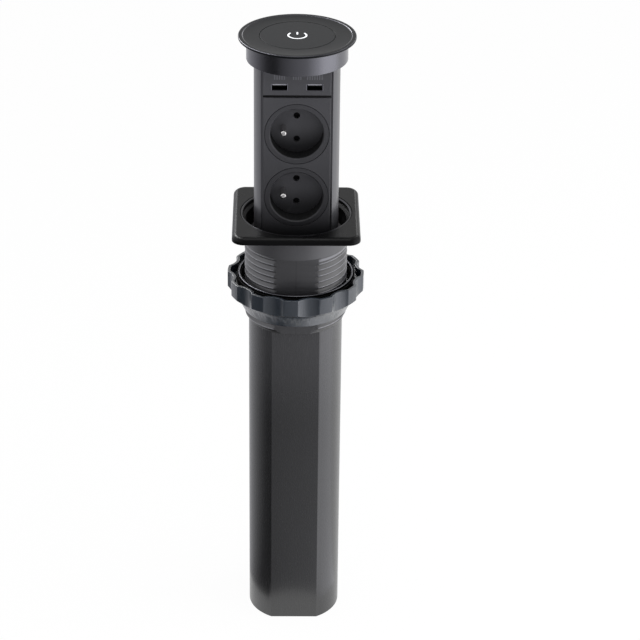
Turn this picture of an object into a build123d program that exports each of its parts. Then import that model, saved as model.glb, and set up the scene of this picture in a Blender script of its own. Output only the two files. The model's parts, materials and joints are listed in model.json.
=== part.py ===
"""Pop up desk socket: a motor lifted tower with two mains sockets and two USB ports.

Millimetres, +Z up, and the front with the sockets faces -Y. The origin is the centre of
the collar's underside, the face that lies on the worktop. The tower is modelled raised.
"""

import os
from math import atan, cos, degrees, pi, radians, sin, sqrt

from build123d import *

# General clearances and shared thicknesses
slide_gap = 0.3  # between a moving piece and what it slides past
seat_gap = 0.1  # between a fixed piece and the pocket that holds it
bearing_gap = 0.05  # radial, between a shaft and its bore
cut_over = 1.0  # how far a cutting tool runs past the face that it opens

# Collar on the worktop
collar_margin = 4.6  # the collar outside the cap's disc, on each side
collar_thickness = 5.5
collar_corner_radius = 9.5
collar_edge_radius = 4.2
well_ring_setback = 1.5  # its inner edge outside the sleeve
well_ring_width = 1.9
well_ring_height = 0.9
well_ring_sink = 0.2  # its top below the collar's top
well_ring_bevel = 0.5

# Threaded sleeve through the worktop
sleeve_well_wall = 1.1  # round the well
sleeve_flange_width = 3.5
sleeve_flange_thickness = 2.4
sleeve_band_height = 17.2
sleeve_height = 82.0
sleeve_end_taper = 4.0
sleeve_end_inset = 2.6
sleeve_flat_wall = 4.0  # between the tube's flats and the sleeve's flats
well_gap = 0.45  # round the cap's skirt when the tower is down
well_depth = 12.6
well_lead = 1.8
thread_pitch = 5.0
thread_depth = 1.3
thread_groove_width = 2.0
thread_groove_floor = 0.9
thread_first_drop = 4.2  # from the plain band to the first groove
thread_sweep = 75.0  # degrees to each side of a groove's middle, past the flats
ear_offset = 3.3  # the ears' middles outside the flange
ear_radius = 5.4
ear_count = 4

# Ring nut, with its slip ring
nut_top = -45.0
nut_lobe_depth = 3.5
nut_valley_wall = 3.8  # from the hub to the valleys
nut_valley_curve = 13.5
nut_lobes = 12
nut_first_lobe_angle = -94.2  # the lobe nearest the front
nut_lobe_height = 12.9
nut_shoulder_width = 5.2
nut_shoulder_drop = 5.0
nut_skirt_wall = 1.3  # at the skirt's lower edge
nut_skirt_drop = 10.4
nut_wall = 2.2
nut_channel_depth = 7.0
nut_hub_gap = 2.5  # between the sleeve and the hub's wide bore
nut_hub_wall = 1.1  # on each side of the slip ring
nut_hub_sink = 1.6  # the hub's top below the lobes' top
nut_thread_height = 14.0
nut_edge_radius = 0.6
slip_ring_width = 1.3
slip_ring_height = 3.2
slip_ring_stand = 0.2  # its top above the lobes' top
slip_ring_bevel = 0.3

# Lower tube
tube_over_tower = 4.0  # the tube's radius beyond the tower's
tube_over_back = 4.5  # its flats beyond the tower's back
tube_wall = 2.0
wiring_space = 23.9  # between the motor and the bottom cap

# Guide ring and wiper at the tube's mouth
guide_flange_height = 3.0
guide_spigot_height = 14.4
wiper_height = 1.5
wiper_gap = 0.2
wiper_lip = 0.6

# Tower
face_share = 0.6  # how far the front plane is from the axis, of the tower's radius
back_setback = 5.5  # the back flat inside the tower's radius
column_width = 5.6  # from the panels' channel out to the tower's radius
tower_wall = 2.0
tower_bottom = -38.0
tower_engage = 8.1  # how far it reaches up into the cap's skirt
panel_side_gap = 1.5  # between a panel and a column
fascia_thickness = 2.5
rail_thickness = 1.5
rail_width = 3.9
port_radius = 2.8
port_bore_radius = 1.3
port_inset = 3.0  # the ports' middles outside the rails' edges
port_y = 12.0
panel_land = 5.15  # the lower panel above the upper socket's flange
panel_gap = 1.85
panel_tongue_height = 3.4
panel_tongue_thickness = 1.2
panel_edge_chamfer = 0.35
usb_panel_height = 24.4  # from the lower panel's top to the cap's skirt
usb_panel_engage = 5.7  # how far it reaches up into the cap's skirt

# Mains sockets
lower_socket_height = 26.8
socket_pitch = 51.6
socket_side_land = 1.05  # the panel beside a socket's flange
socket_flange_width = 4.35
socket_seam = 0.15
socket_well_depth = 14.0
socket_well_lead = 0.8
socket_cup_wall = 1.6
socket_floor_thickness = 3.0
socket_block_width = 31.0
socket_block_height = 29.0
socket_block_depth = 11.0
socket_block_corner = 3.0
pin_hole_radius = 2.5
pin_spacing = 19.0
earth_pin_radius = 2.4
earth_pin_offset = 10.0
earth_pin_reach = 13.6
earth_pin_tip = 1.6
earth_shank_radius = 2.0
earth_tail_length = 1.2
contact_radius = 3.1
contact_wall = 0.6
contact_slit = 0.8
contact_tab_width = 3.0
contact_tab_reach = 6.5
contact_tab_thickness = 0.6
bus_bar_thickness = 0.8
bus_bar_width = 3.0
bus_bar_x = 5.5
earth_bar_width = 7.0
earth_bar_x = 11.5
shutter_thickness = 1.8
shutter_width = 11.0
shutter_left = 3.6  # how far it reaches left of the pin holes
shutter_height = 25.0
shutter_travel = 6.4
shutter_slot_gap = 0.2

# USB ports
usb_x = 13.1
usb_rise = 8.5  # the ports' middle above the lower panel's top
usb_shell_width = 12.4
usb_shell_height = 5.4
usb_shell_wall = 0.3
usb_shell_corner = 0.6
usb_shell_depth = 14.0
usb_shell_sink = 0.2
usb_tongue_width = 10.6
usb_tongue_thickness = 1.5
usb_tongue_top = 2.0  # above the port's middle
usb_tongue_sink = 1.3
usb_board_width = 44.0
usb_board_height = 20.0
board_thickness = 1.6
usb_converter_width = 24.0
usb_converter_height = 14.0
usb_converter_depth = 11.0

# Cap
cap_overlap = 1.1  # the disc outside the well ring
cap_thickness = 2.1
cap_rim_width = 3.7
cap_rim_height = 0.4
cap_edge_chamfer = 0.8
cap_rim_fillet = 0.9
cap_skirt_over = 5.65  # the skirt outside the tower
cap_skirt_wall = 1.9
cap_skirt_height = 16.1
cap_floor = 2.0
cap_saddle_wall = 2.6
cap_deck_thickness = 2.5
cap_locating_height = 2.6
cap_locating_wall = 1.4
closed_gap = 0.3  # between the disc and the collar when the tower is down

# Button in the cap
button_radius = 28.1
button_seam = 0.25
button_thickness = 1.8
button_flange_radius = 30.0
button_flange_thickness = 1.2
button_travel = 0.8
button_edge_chamfer = 0.3
symbol_radius = 6.8
symbol_stroke = 1.25
symbol_gap_angle = 96.0
symbol_bar_length = 5.0
symbol_bar_start = 1.5
symbol_depth = 0.8
return_ring_radius = 26.5
return_ring_wall = 2.0
button_board_radius = 19.0
switch_body = 6.2
switch_body_height = 0.9
switch_plunger_radius = 1.75
switch_stop_gap = 0.2
led_size = 3.0
led_height = 0.8
led_circle_radius = 9.0
led_count = 4

# Tower's lower end
tower_base_thickness = 4.0
shoe_lip_thickness = 2.0
shoe_lip_width = 9.0
shoe_fit = 0.15
shoe_notch_radius = 9.0

# Lead screw and its drive, behind the sockets
screw_front_space = 9.0  # from the sockets' blocks to the screw's axis
screw_back_space = 9.5  # from the screw's axis to the tower's back
screw_radius = 4.0
screw_lead = 8.0
screw_top = -24.0
screw_shoulder_radius = 5.6
screw_shoulder_height = 2.0
lift_nut_radius = 5.2
lift_nut_flange_radius = 8.2
lift_nut_flange_thickness = 3.5
lift_nut_height = 16.0
nut_screw_circle = 6.7
nut_screw_count = 3
shroud_wall = 1.0
shroud_gap = 0.4
shroud_top_gap = 2.5
shroud_cap = 1.2
bearing_block_thickness = 12.0
bearing_block_gap = 4.0  # under the tower's lowest position
bearing_outer_radius = 9.5
bearing_height = 6.0
bearing_race = 1.5
coupler_radius = 8.0
coupler_height = 22.0
coupler_drop = 2.0
coupler_engage = 9.0
shaft_radius = 3.0
bracket_thickness = 6.0
bracket_drop = 2.0
gearbox_radius = 11.0
gearbox_height = 30.0
gearbox_boss_radius = 6.0
gearbox_boss_height = 2.0
gearbox_screw_circle = 8.5
gearbox_screw_count = 4
motor_height = 48.0
motor_radius = 10.8
motor_tail_radius = 4.0
motor_tail_height = 2.5

# Controls in the tube
control_board_y = -8.0
control_board_width = 52.0
power_module_width = 34.0
power_module_height = 46.0
power_module_depth = 17.0
power_module_drop = 24.0
terminal_width = 30.0
terminal_height = 10.0
terminal_depth = 11.0
terminal_rise = 6.0
terminal_screw_radius = 1.8
terminal_ways = 3
terminal_pitch = 9.0
limit_switch_width = 12.0
limit_switch_depth = 6.0
limit_switch_height = 4.6

# Bottom cap and cable grommet
bottom_cap_thickness = 8.5
board_post_height = 6.0
board_post_width = 5.0
grommet_y = -6.0
grommet_radius = 7.0
grommet_bore_radius = 3.8
grommet_flange_radius = 9.2
grommet_flange_thickness = 1.8
grommet_rise = 3.0
grommet_bevel = 0.6

# Screws: head radius, shank radius and length
m3_head_radius = 2.9
m3_shank_radius = 1.45
m3_head_height = 1.7
hex_drive_radius = 1.15
hex_drive_depth = 1.0
collar_screw_length = 4.7
housing_screw_length = 8.0
sleeve_screw_length = 7.8
port_screw_length = 12.0
port_screw_shank_radius = 1.28
small_head_radius = 1.9
small_head_height = 1.2
small_shank_radius = 0.95
gearbox_screw_length = 8.5
nut_screw_length = 6.0
housing_screw_x = 12.0

# The tower's depth is the sockets, the screw and the back flat, one behind the other
socket_depth = socket_well_depth + socket_floor_thickness + socket_block_depth
screw_space = screw_front_space + screw_back_space
tower_radius = (socket_depth + screw_space + back_setback) / (1 + face_share)
fascia_face = face_share * tower_radius
tower_back = tower_radius - back_setback
screw_y = tower_back - screw_back_space
channel_half_width = tower_radius - column_width
rail_half_opening = channel_half_width - rail_width
port_x = rail_half_opening + port_inset
fascia_half_width = channel_half_width - panel_side_gap
socket_flange_radius = fascia_half_width - socket_side_land
socket_well_radius = socket_flange_radius - socket_flange_width
socket_cup_radius = socket_well_radius + socket_cup_wall

# Radii that follow, from the tower outwards
cap_skirt_radius = tower_radius + cap_skirt_over
well_radius = cap_skirt_radius + well_gap
sleeve_radius = well_radius + sleeve_well_wall
sleeve_flange_radius = sleeve_radius + sleeve_flange_width
ear_circle_radius = sleeve_flange_radius + ear_offset
well_ring_inner_radius = sleeve_radius + well_ring_setback
well_ring_outer_radius = well_ring_inner_radius + well_ring_width
cap_radius = well_ring_outer_radius + cap_overlap
collar_width = 2 * (cap_radius + collar_margin)
tube_radius = tower_radius + tube_over_tower
tube_flat = tower_back + tube_over_back
sleeve_flat = tube_flat + sleeve_flat_wall
nut_skirt_radius = sleeve_radius + nut_skirt_wall
nut_shoulder_radius = nut_skirt_radius + nut_shoulder_width
nut_hub_inner_radius = sleeve_radius + nut_hub_gap
slip_ring_inner_radius = nut_hub_inner_radius + nut_hub_wall
slip_ring_outer_radius = slip_ring_inner_radius + slip_ring_width
nut_hub_outer_radius = slip_ring_outer_radius + nut_hub_wall
nut_valley_radius = nut_hub_outer_radius + nut_valley_wall
nut_lobe_radius = nut_valley_radius + nut_lobe_depth

# Places that follow from the sizes above
upper_socket_height = lower_socket_height + socket_pitch
socket_heights = {"upper": upper_socket_height, "lower": lower_socket_height}
panel_split = upper_socket_height + socket_flange_radius + panel_land
usb_z = panel_split + usb_rise
skirt_bottom = panel_split + usb_panel_height
usb_panel_top = skirt_bottom + usb_panel_engage
tower_top = skirt_bottom + tower_engage
disc_underside = skirt_bottom + cap_skirt_height
cap_top = disc_underside + cap_thickness
travel = disc_underside - collar_thickness - closed_gap
guide_top = -well_depth
tube_top = guide_top - guide_flange_height
guide_bottom = tube_top - guide_spigot_height
shoe_top = guide_bottom - slide_gap
base_underside = tower_bottom - tower_base_thickness
shoe_bottom = base_underside - shoe_lip_thickness
nut_flange_bottom = base_underside - lift_nut_flange_thickness
block_top = nut_flange_bottom - travel - bearing_block_gap
block_bottom = block_top - bearing_block_thickness
coupler_top = block_bottom - coupler_drop
coupler_bottom = coupler_top - coupler_height
bracket_top = coupler_bottom - bracket_drop
bracket_bottom = bracket_top - bracket_thickness
gearbox_bottom = bracket_bottom - gearbox_height
motor_bottom = gearbox_bottom - motor_height
bottom_cap_top = motor_bottom - wiring_space
tube_bottom = bottom_cap_top - bottom_cap_thickness
fascia_back = fascia_face - fascia_thickness
socket_floor_y = -fascia_face + socket_well_depth
socket_block_front = socket_floor_y + socket_floor_thickness
socket_block_back = socket_block_front + socket_block_depth
plate_top = cap_top - cap_rim_height
button_underside = plate_top - button_thickness - button_flange_thickness
deck_top = tower_top + seat_gap + cap_deck_thickness
usb_board_front = -fascia_face + usb_shell_sink + usb_shell_depth
screw_axis = Location((0, screw_y, 0))

os.makedirs("parts", exist_ok=True)


def save(name, builder):
    """Label a finished piece and write it as parts/name.step."""
    builder.part.label = name
    export_step(builder.part, f"parts/{name}.step")


def tube_outline(gap=0):
    """Round with a flat at front and back, as the lower tube; gap shrinks it all round."""
    Circle(tube_radius - gap)
    Rectangle(2 * tube_radius, 2 * (tube_flat - gap), mode=Mode.INTERSECT)


def tube_bore(gap=0):
    """Outline of what fits inside the lower tube."""
    tube_outline(tube_wall + gap)


def tower_outline(gap=0):
    """The tower's section: round sides, the front plane and the back flat; gap grows it."""
    front = fascia_face + gap
    back = tower_back + gap
    Circle(tower_radius + gap)
    with Locations((0, (back - front) / 2)):
        Rectangle(3 * tower_radius, back + front, mode=Mode.INTERSECT)


def countersunk_screw(length, shank_radius=m3_shank_radius, head_radius=m3_head_radius):
    """A countersunk screw along Z with its head's face at z 0 and its shank below."""
    with BuildPart() as screw:
        with BuildSketch(Plane.XZ):
            with BuildLine():
                Polyline(
                    (0, 0),
                    (head_radius, 0),
                    (shank_radius, -m3_head_height),
                    (shank_radius, -length),
                    (0, -length),
                    close=True,
                )
            make_face()
        revolve(axis=Axis.Z)
        with BuildSketch():
            RegularPolygon(hex_drive_radius, 6)
        extrude(amount=-hex_drive_depth, mode=Mode.SUBTRACT)
    return screw.part


def cylinder_head_screw(length):
    """A small screw along Z, its head standing on z 0 and its shank below."""
    with BuildPart() as screw:
        Cylinder(small_head_radius, small_head_height, align=(Align.CENTER, Align.CENTER, Align.MIN))
        Cylinder(small_shank_radius, length, align=(Align.CENTER, Align.CENTER, Align.MAX))
    return screw.part


def countersinks(places, length, shank_radius=m3_shank_radius):
    """Cut the seats of countersunk screws at these places, with a little room round them."""
    with Locations(*places):
        Cone(
            shank_radius + seat_gap,
            m3_head_radius + seat_gap,
            m3_head_height,
            align=(Align.CENTER, Align.CENTER, Align.MAX),
            mode=Mode.SUBTRACT,
        )
        Cylinder(
            shank_radius + seat_gap,
            length + seat_gap,
            align=(Align.CENTER, Align.CENTER, Align.MAX),
            mode=Mode.SUBTRACT,
        )


def back_places(x_offset, height, depth):
    """Two places on a back flat, left and right, that look out along +Y."""
    return [
        Plane(origin=(side * x_offset, depth, height), x_dir=(1, 0, 0), z_dir=(0, 1, 0))
        for side in (-1, 1)
    ]


# Where the groups of screws sit
ear_places = [
    Plane(
        origin=(
            ear_circle_radius * cos(radians(45 + 360 / ear_count * k)),
            ear_circle_radius * sin(radians(45 + 360 / ear_count * k)),
            0,
        ),
        x_dir=(1, 0, 0),
        z_dir=(0, 0, -1),
    )
    for k in range(ear_count)
]
guide_screw_z = (tube_top + guide_bottom) / 2
block_screw_z = (block_top + block_bottom) / 2
bracket_screw_z = (bracket_top + bracket_bottom) / 2
cap_screw_z = tube_bottom + bottom_cap_thickness / 2
housing_screw_places = [
    place
    for height in (block_screw_z, bracket_screw_z, cap_screw_z)
    for place in back_places(housing_screw_x, height, tube_flat)
]
sleeve_screw_places = back_places(housing_screw_x, guide_screw_z, sleeve_flat)
port_places = [(x, y) for x in (-port_x, port_x) for y in (-port_y, port_y)]


# Collar

with BuildPart() as collar_plate:
    with BuildSketch():
        RectangleRounded(collar_width, collar_width, collar_corner_radius)
    extrude(amount=collar_thickness)
    fillet(collar_plate.faces().sort_by(Axis.Z)[-1].edges(), radius=collar_edge_radius)
    with BuildSketch(Plane.XY.offset(-cut_over)):
        Circle(well_ring_inner_radius)
    extrude(amount=collar_thickness + 2 * cut_over, mode=Mode.SUBTRACT)
    ring_floor = collar_thickness - well_ring_sink - well_ring_height
    with BuildSketch(Plane.XY.offset(ring_floor)):
        Circle(well_ring_outer_radius + seat_gap)
    extrude(amount=well_ring_height + well_ring_sink + cut_over, mode=Mode.SUBTRACT)
    # Pocket under the collar for the sleeve's flange and ears
    with BuildSketch():
        Circle(sleeve_flange_radius + seat_gap)
        with PolarLocations(ear_circle_radius, ear_count, start_angle=45):
            Circle(ear_radius + seat_gap)
    extrude(amount=sleeve_flange_thickness + seat_gap, mode=Mode.SUBTRACT)
    with Locations(*ear_places):
        Cylinder(
            m3_shank_radius + seat_gap,
            collar_screw_length + seat_gap,
            align=(Align.CENTER, Align.CENTER, Align.MAX),
            mode=Mode.SUBTRACT,
        )
save("collar_plate", collar_plate)

with BuildPart() as well_ring:
    with BuildSketch(Plane.XY.offset(ring_floor)):
        Circle(well_ring_outer_radius)
        Circle(well_ring_inner_radius, mode=Mode.SUBTRACT)
    extrude(amount=well_ring_height)
    top_edges = well_ring.faces().sort_by(Axis.Z)[-1].edges()
    chamfer(top_edges, length=well_ring_bevel)
save("well_ring", well_ring)

with BuildPart() as collar_screws:
    with Locations(*ear_places):
        add(countersunk_screw(collar_screw_length))
save("collar_screws", collar_screws)


# Threaded sleeve

groove_count = int((sleeve_height - sleeve_band_height - thread_first_drop) / thread_pitch)
thread_climb = degrees(atan(thread_pitch / (2 * pi * sleeve_radius)))

with BuildPart() as threaded_sleeve:
    with BuildSketch():
        Circle(sleeve_flange_radius)
        with PolarLocations(ear_circle_radius, ear_count, start_angle=45):
            Circle(ear_radius)
    extrude(amount=sleeve_flange_thickness)
    with BuildSketch(Plane.XZ):
        with BuildLine():
            Polyline(
                (0, sleeve_flange_thickness),
                (sleeve_radius, sleeve_flange_thickness),
                (sleeve_radius, sleeve_end_taper - sleeve_height),
                (sleeve_radius - sleeve_end_inset, -sleeve_height),
                (0, -sleeve_height),
                close=True,
            )
        make_face()
    revolve(axis=Axis.Z)
    # Front and back flats, from under the plain band to the end
    with BuildSketch(Plane.XY.offset(-sleeve_band_height)):
        Circle(sleeve_radius + cut_over)
        Rectangle(3 * sleeve_radius, 2 * sleeve_flat, mode=Mode.SUBTRACT)
    extrude(amount=-sleeve_height, mode=Mode.SUBTRACT)
    # Thread grooves: each turn is two tilted half rings, one each side, that climb as a helix
    for turn in range(groove_count):
        for side in (-1, 1):
            drop = thread_first_drop + thread_pitch * (turn + (0.25 if side > 0 else 0.75))
            level = -sleeve_band_height - drop
            tilted = Plane(
                origin=(0, 0, level),
                x_dir=(side, 0, 0),
                z_dir=(0, -side * cos(radians(thread_climb)), -sin(radians(thread_climb))),
            )
            for sweep in (1, -1):
                with BuildSketch(tilted):
                    with BuildLine():
                        Polyline(
                            (sleeve_radius - thread_depth, -thread_groove_floor / 2),
                            (sleeve_radius + thread_depth, -thread_groove_width),
                            (sleeve_radius + thread_depth, thread_groove_width),
                            (sleeve_radius - thread_depth, thread_groove_floor / 2),
                            close=True,
                        )
                    make_face()
                revolve(
                    axis=Axis((0, 0, level), sweep * tilted.y_dir),
                    revolution_arc=thread_sweep,
                    mode=Mode.SUBTRACT,
                )
    # Well for the cap's skirt, then the bore that holds the tube and the guide ring
    with BuildSketch(Plane.XZ):
        with BuildLine():
            Polyline(
                (0, -well_depth),
                (well_radius, -well_depth),
                (well_radius, sleeve_flange_thickness - well_lead),
                (well_radius + well_lead, sleeve_flange_thickness),
                (0, sleeve_flange_thickness),
                close=True,
            )
        make_face()
    revolve(axis=Axis.Z, mode=Mode.SUBTRACT)
    with BuildSketch(Plane.XY.offset(-well_depth)):
        tube_outline(-seat_gap)
    extrude(amount=-sleeve_height, mode=Mode.SUBTRACT)
    countersinks(ear_places, collar_screw_length)
    countersinks(sleeve_screw_places, sleeve_screw_length)
save("threaded_sleeve", threaded_sleeve)

with BuildPart() as sleeve_screws:
    with Locations(*sleeve_screw_places):
        add(countersunk_screw(sleeve_screw_length))
save("sleeve_screws", sleeve_screws)


# Ring nut and slip ring

lobe_bottom = nut_top - nut_lobe_height
shoulder_z = lobe_bottom - nut_shoulder_drop
nut_bottom = shoulder_z - nut_skirt_drop
hub_top = nut_top - nut_hub_sink
slip_ring_bottom = nut_top + slip_ring_stand - slip_ring_height

with BuildPart() as ring_nut:
    with BuildSketch(Plane.XZ):
        with BuildLine():
            Polyline(
                (0, nut_top),
                (nut_lobe_radius, nut_top),
                (nut_lobe_radius, lobe_bottom),
                (nut_shoulder_radius, shoulder_z),
                (nut_skirt_radius, nut_bottom),
                (0, nut_bottom),
                close=True,
            )
        make_face()
    revolve(axis=Axis.Z)
    # Concave valleys between the lobes
    valley_start = nut_first_lobe_angle + 180 / nut_lobes
    with BuildSketch(Plane.XY.offset(nut_top)):
        with PolarLocations(nut_valley_radius + nut_valley_curve, nut_lobes, start_angle=valley_start):
            Circle(nut_valley_curve)
    extrude(amount=nut_bottom - nut_top, mode=Mode.SUBTRACT)
    # Hollow between the lobed wall and the hub
    with BuildSketch(Plane.XY.offset(nut_top)):
        Circle(nut_lobe_radius - nut_wall)
        with PolarLocations(nut_valley_radius + nut_valley_curve, nut_lobes, start_angle=valley_start):
            Circle(nut_valley_curve + nut_wall, mode=Mode.SUBTRACT)
        Circle(nut_hub_outer_radius, mode=Mode.SUBTRACT)
    extrude(amount=-nut_channel_depth, mode=Mode.SUBTRACT)
    with BuildSketch(Plane.XY.offset(nut_top)):
        Circle(nut_hub_outer_radius + bearing_gap)
    extrude(amount=-nut_hub_sink, mode=Mode.SUBTRACT)
    # Groove for the slip ring, the hub's wide bore and the threaded bore under it
    with BuildSketch(Plane.XY.offset(hub_top)):
        Circle(slip_ring_outer_radius + slide_gap)
        Circle(slip_ring_inner_radius - slide_gap, mode=Mode.SUBTRACT)
    extrude(amount=slip_ring_bottom - slide_gap - hub_top, mode=Mode.SUBTRACT)
    with BuildSketch(Plane.XY.offset(nut_top)):
        Circle(nut_hub_inner_radius)
    extrude(amount=nut_bottom + nut_thread_height - nut_top, mode=Mode.SUBTRACT)
    with BuildSketch(Plane.XY.offset(nut_top)):
        Circle(sleeve_radius + bearing_gap)
    extrude(amount=nut_bottom - nut_top, mode=Mode.SUBTRACT)
save("ring_nut", ring_nut)

with BuildPart() as slip_ring:
    with BuildSketch(Plane.XY.offset(slip_ring_bottom)):
        Circle(slip_ring_outer_radius)
        Circle(slip_ring_inner_radius, mode=Mode.SUBTRACT)
    extrude(amount=slip_ring_height)
    chamfer(slip_ring.faces().sort_by(Axis.Z)[-1].edges(), length=slip_ring_bevel)
save("slip_ring", slip_ring)


# Lower tube with its bottom cap and grommet

with BuildPart() as lower_tube:
    with BuildSketch(Plane.XY.offset(tube_bottom)):
        tube_outline()
        with BuildSketch(mode=Mode.PRIVATE) as bore:
            tube_bore()
        add(bore.sketch, mode=Mode.SUBTRACT)
    extrude(amount=tube_top - tube_bottom)
    countersinks(housing_screw_places, housing_screw_length)
    with Locations(*back_places(housing_screw_x, guide_screw_z, tube_flat)):
        Cylinder(m3_shank_radius + seat_gap, 3 * tube_wall, mode=Mode.SUBTRACT)
save("lower_tube", lower_tube)

with BuildPart() as bottom_cap:
    with BuildSketch(Plane.XY.offset(tube_bottom)):
        tube_bore(seat_gap)
    extrude(amount=bottom_cap_thickness)
    # Posts that hold the control board's lower edge
    with BuildSketch(Plane.XY.offset(bottom_cap_top)):
        with Locations(
            *[(side * control_board_width / 2 - side * board_post_width / 2, control_board_y) for side in (-1, 1)]
        ):
            Rectangle(board_post_width, board_thickness + 2 * board_post_width)
    extrude(amount=board_post_height)
    with BuildSketch(Plane.XY.offset(bottom_cap_top)):
        with Locations((0, control_board_y)):
            Rectangle(control_board_width + 2 * seat_gap, board_thickness + 2 * seat_gap)
    extrude(amount=board_post_height, mode=Mode.SUBTRACT)
    with BuildSketch(Plane.XY.offset(tube_bottom)):
        with Locations((0, grommet_y)):
            Circle(grommet_radius + seat_gap)
    extrude(amount=bottom_cap_thickness + board_post_height, mode=Mode.SUBTRACT)
    with BuildSketch(Plane.XY.offset(tube_bottom)):
        with Locations((0, grommet_y)):
            Circle(grommet_flange_radius + seat_gap)
    extrude(amount=grommet_flange_thickness + seat_gap, mode=Mode.SUBTRACT)
    countersinks(back_places(housing_screw_x, cap_screw_z, tube_flat), housing_screw_length)
save("bottom_cap", bottom_cap)

with BuildPart() as cable_grommet:
    with BuildSketch(Plane.XZ):
        with BuildLine():
            Polyline(
                (grommet_bore_radius, tube_bottom),
                (grommet_flange_radius - grommet_bevel, tube_bottom),
                (grommet_flange_radius, tube_bottom + grommet_bevel),
                (grommet_flange_radius, tube_bottom + grommet_flange_thickness),
                (grommet_radius, tube_bottom + grommet_flange_thickness),
                (grommet_radius, bottom_cap_top + grommet_rise - grommet_bevel),
                (grommet_radius - grommet_bevel, bottom_cap_top + grommet_rise),
                (grommet_bore_radius, bottom_cap_top + grommet_rise),
                close=True,
            )
        make_face()
    revolve(axis=Axis.Z)
cable_grommet.part.position = (0, grommet_y, 0)
save("cable_grommet", cable_grommet)

with BuildPart() as housing_screws:
    with Locations(*housing_screw_places):
        add(countersunk_screw(housing_screw_length))
save("housing_screws", housing_screws)


# Guide ring with its wiper and the upper limit switch

switch_pocket = Location((0, -(fascia_face + tube_flat - tube_wall) / 2))

with BuildPart() as guide_ring:
    with BuildSketch(Plane.XY.offset(tube_top)):
        tube_outline()
    extrude(amount=guide_flange_height)
    with BuildSketch(Plane.XY.offset(tube_top)):
        tube_bore(seat_gap)
    extrude(amount=-guide_spigot_height)
    with BuildSketch(Plane.XY.offset(guide_top)):
        tower_outline(slide_gap)
    extrude(amount=guide_bottom - guide_top, mode=Mode.SUBTRACT)
    with BuildSketch(Plane.XY.offset(guide_bottom)):
        with Locations(switch_pocket):
            Rectangle(limit_switch_width + 2 * seat_gap, limit_switch_depth + 2 * seat_gap)
    extrude(amount=limit_switch_height + seat_gap, mode=Mode.SUBTRACT)
    with Locations(*back_places(housing_screw_x, guide_screw_z, sleeve_flat)):
        Cylinder(
            m3_shank_radius + bearing_gap,
            sleeve_screw_length,
            align=(Align.CENTER, Align.CENTER, Align.MAX),
            mode=Mode.SUBTRACT,
        )
save("guide_ring", guide_ring)

with BuildPart() as wiper_seal:
    with BuildSketch(Plane.XY.offset(guide_top)):
        tube_outline()
        with BuildSketch(mode=Mode.PRIVATE) as passage:
            tower_outline(wiper_gap)
        add(passage.sketch, mode=Mode.SUBTRACT)
    extrude(amount=wiper_height)
    inner_edges = wiper_seal.faces().sort_by(Axis.Z)[-1].inner_wires()[0].edges()
    chamfer(inner_edges, length=wiper_lip)
save("wiper_seal", wiper_seal)

with BuildPart() as upper_limit_switch:
    with BuildSketch(Plane.XY.offset(guide_bottom + seat_gap)):
        with Locations(switch_pocket):
            Rectangle(limit_switch_width, limit_switch_depth)
    extrude(amount=limit_switch_height - seat_gap)
save("upper_limit_switch", upper_limit_switch)


# Tower: extrusion, base, guide shoe and screws

with BuildPart() as tower_profile:
    with BuildSketch(Plane.XY.offset(tower_bottom)):
        tower_outline()
        # Front channel that holds the panels, in front of the rails
        channel_depth = fascia_thickness
        with Locations((0, -fascia_face + channel_depth / 2 - cut_over / 2)):
            Rectangle(2 * channel_half_width, channel_depth + cut_over, mode=Mode.SUBTRACT)
        # Cavity, and the opening between the rails
        with BuildSketch(mode=Mode.PRIVATE) as cavity:
            rail_back = -fascia_back + rail_thickness
            inner_back = tower_back - tower_wall
            Circle(tower_radius - tower_wall)
            with Locations((0, (inner_back + rail_back) / 2)):
                Rectangle(2 * tower_radius, inner_back - rail_back, mode=Mode.INTERSECT)
            with Locations((0, -fascia_back)):
                Rectangle(2 * rail_half_opening, 2 * rail_thickness + cut_over)
            with Locations(*port_places):
                Circle(port_radius, mode=Mode.SUBTRACT)
            with Locations(*port_places):
                Circle(port_bore_radius)
        add(cavity.sketch, mode=Mode.SUBTRACT)
    extrude(amount=tower_top - tower_bottom)
save("tower_profile", tower_profile)

with BuildPart() as tower_base:
    with BuildSketch(Plane.XY.offset(base_underside)):
        tower_outline()
    extrude(amount=tower_base_thickness)
    with BuildSketch(Plane.XY.offset(base_underside)):
        with Locations(screw_axis):
            Circle(lift_nut_radius + seat_gap)
        with Locations(*port_places):
            Circle(m3_shank_radius + seat_gap)
        with Locations(screw_axis):
            with PolarLocations(nut_screw_circle, nut_screw_count, start_angle=90):
                Circle(small_shank_radius + bearing_gap)
    extrude(amount=tower_base_thickness, mode=Mode.SUBTRACT)
save("tower_base", tower_base)

base_screw_places = [
    Plane(origin=(x, y, shoe_bottom), x_dir=(1, 0, 0), z_dir=(0, 0, -1)) for x, y in port_places
]

with BuildPart() as guide_shoe:
    with BuildSketch(Plane.XY.offset(shoe_bottom)):
        tube_bore(shoe_fit)
    extrude(amount=shoe_top - shoe_bottom)
    with BuildSketch(Plane.XY.offset(base_underside)):
        tower_outline(seat_gap)
    extrude(amount=shoe_top - base_underside, mode=Mode.SUBTRACT)
    with BuildSketch(Plane.XY.offset(shoe_bottom)):
        with BuildSketch(mode=Mode.PRIVATE) as lip_opening:
            tower_outline(-shoe_lip_width)
        add(lip_opening.sketch)
        with Locations(screw_axis):
            Circle(shoe_notch_radius)
    extrude(amount=shoe_lip_thickness, mode=Mode.SUBTRACT)
    countersinks(base_screw_places, port_screw_length, port_screw_shank_radius)
save("guide_shoe", guide_shoe)

with BuildPart() as base_screws:
    with Locations(*base_screw_places):
        add(countersunk_screw(port_screw_length, port_screw_shank_radius))
save("base_screws", base_screws)


# Lift nut, lead screw and the shroud round it

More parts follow.
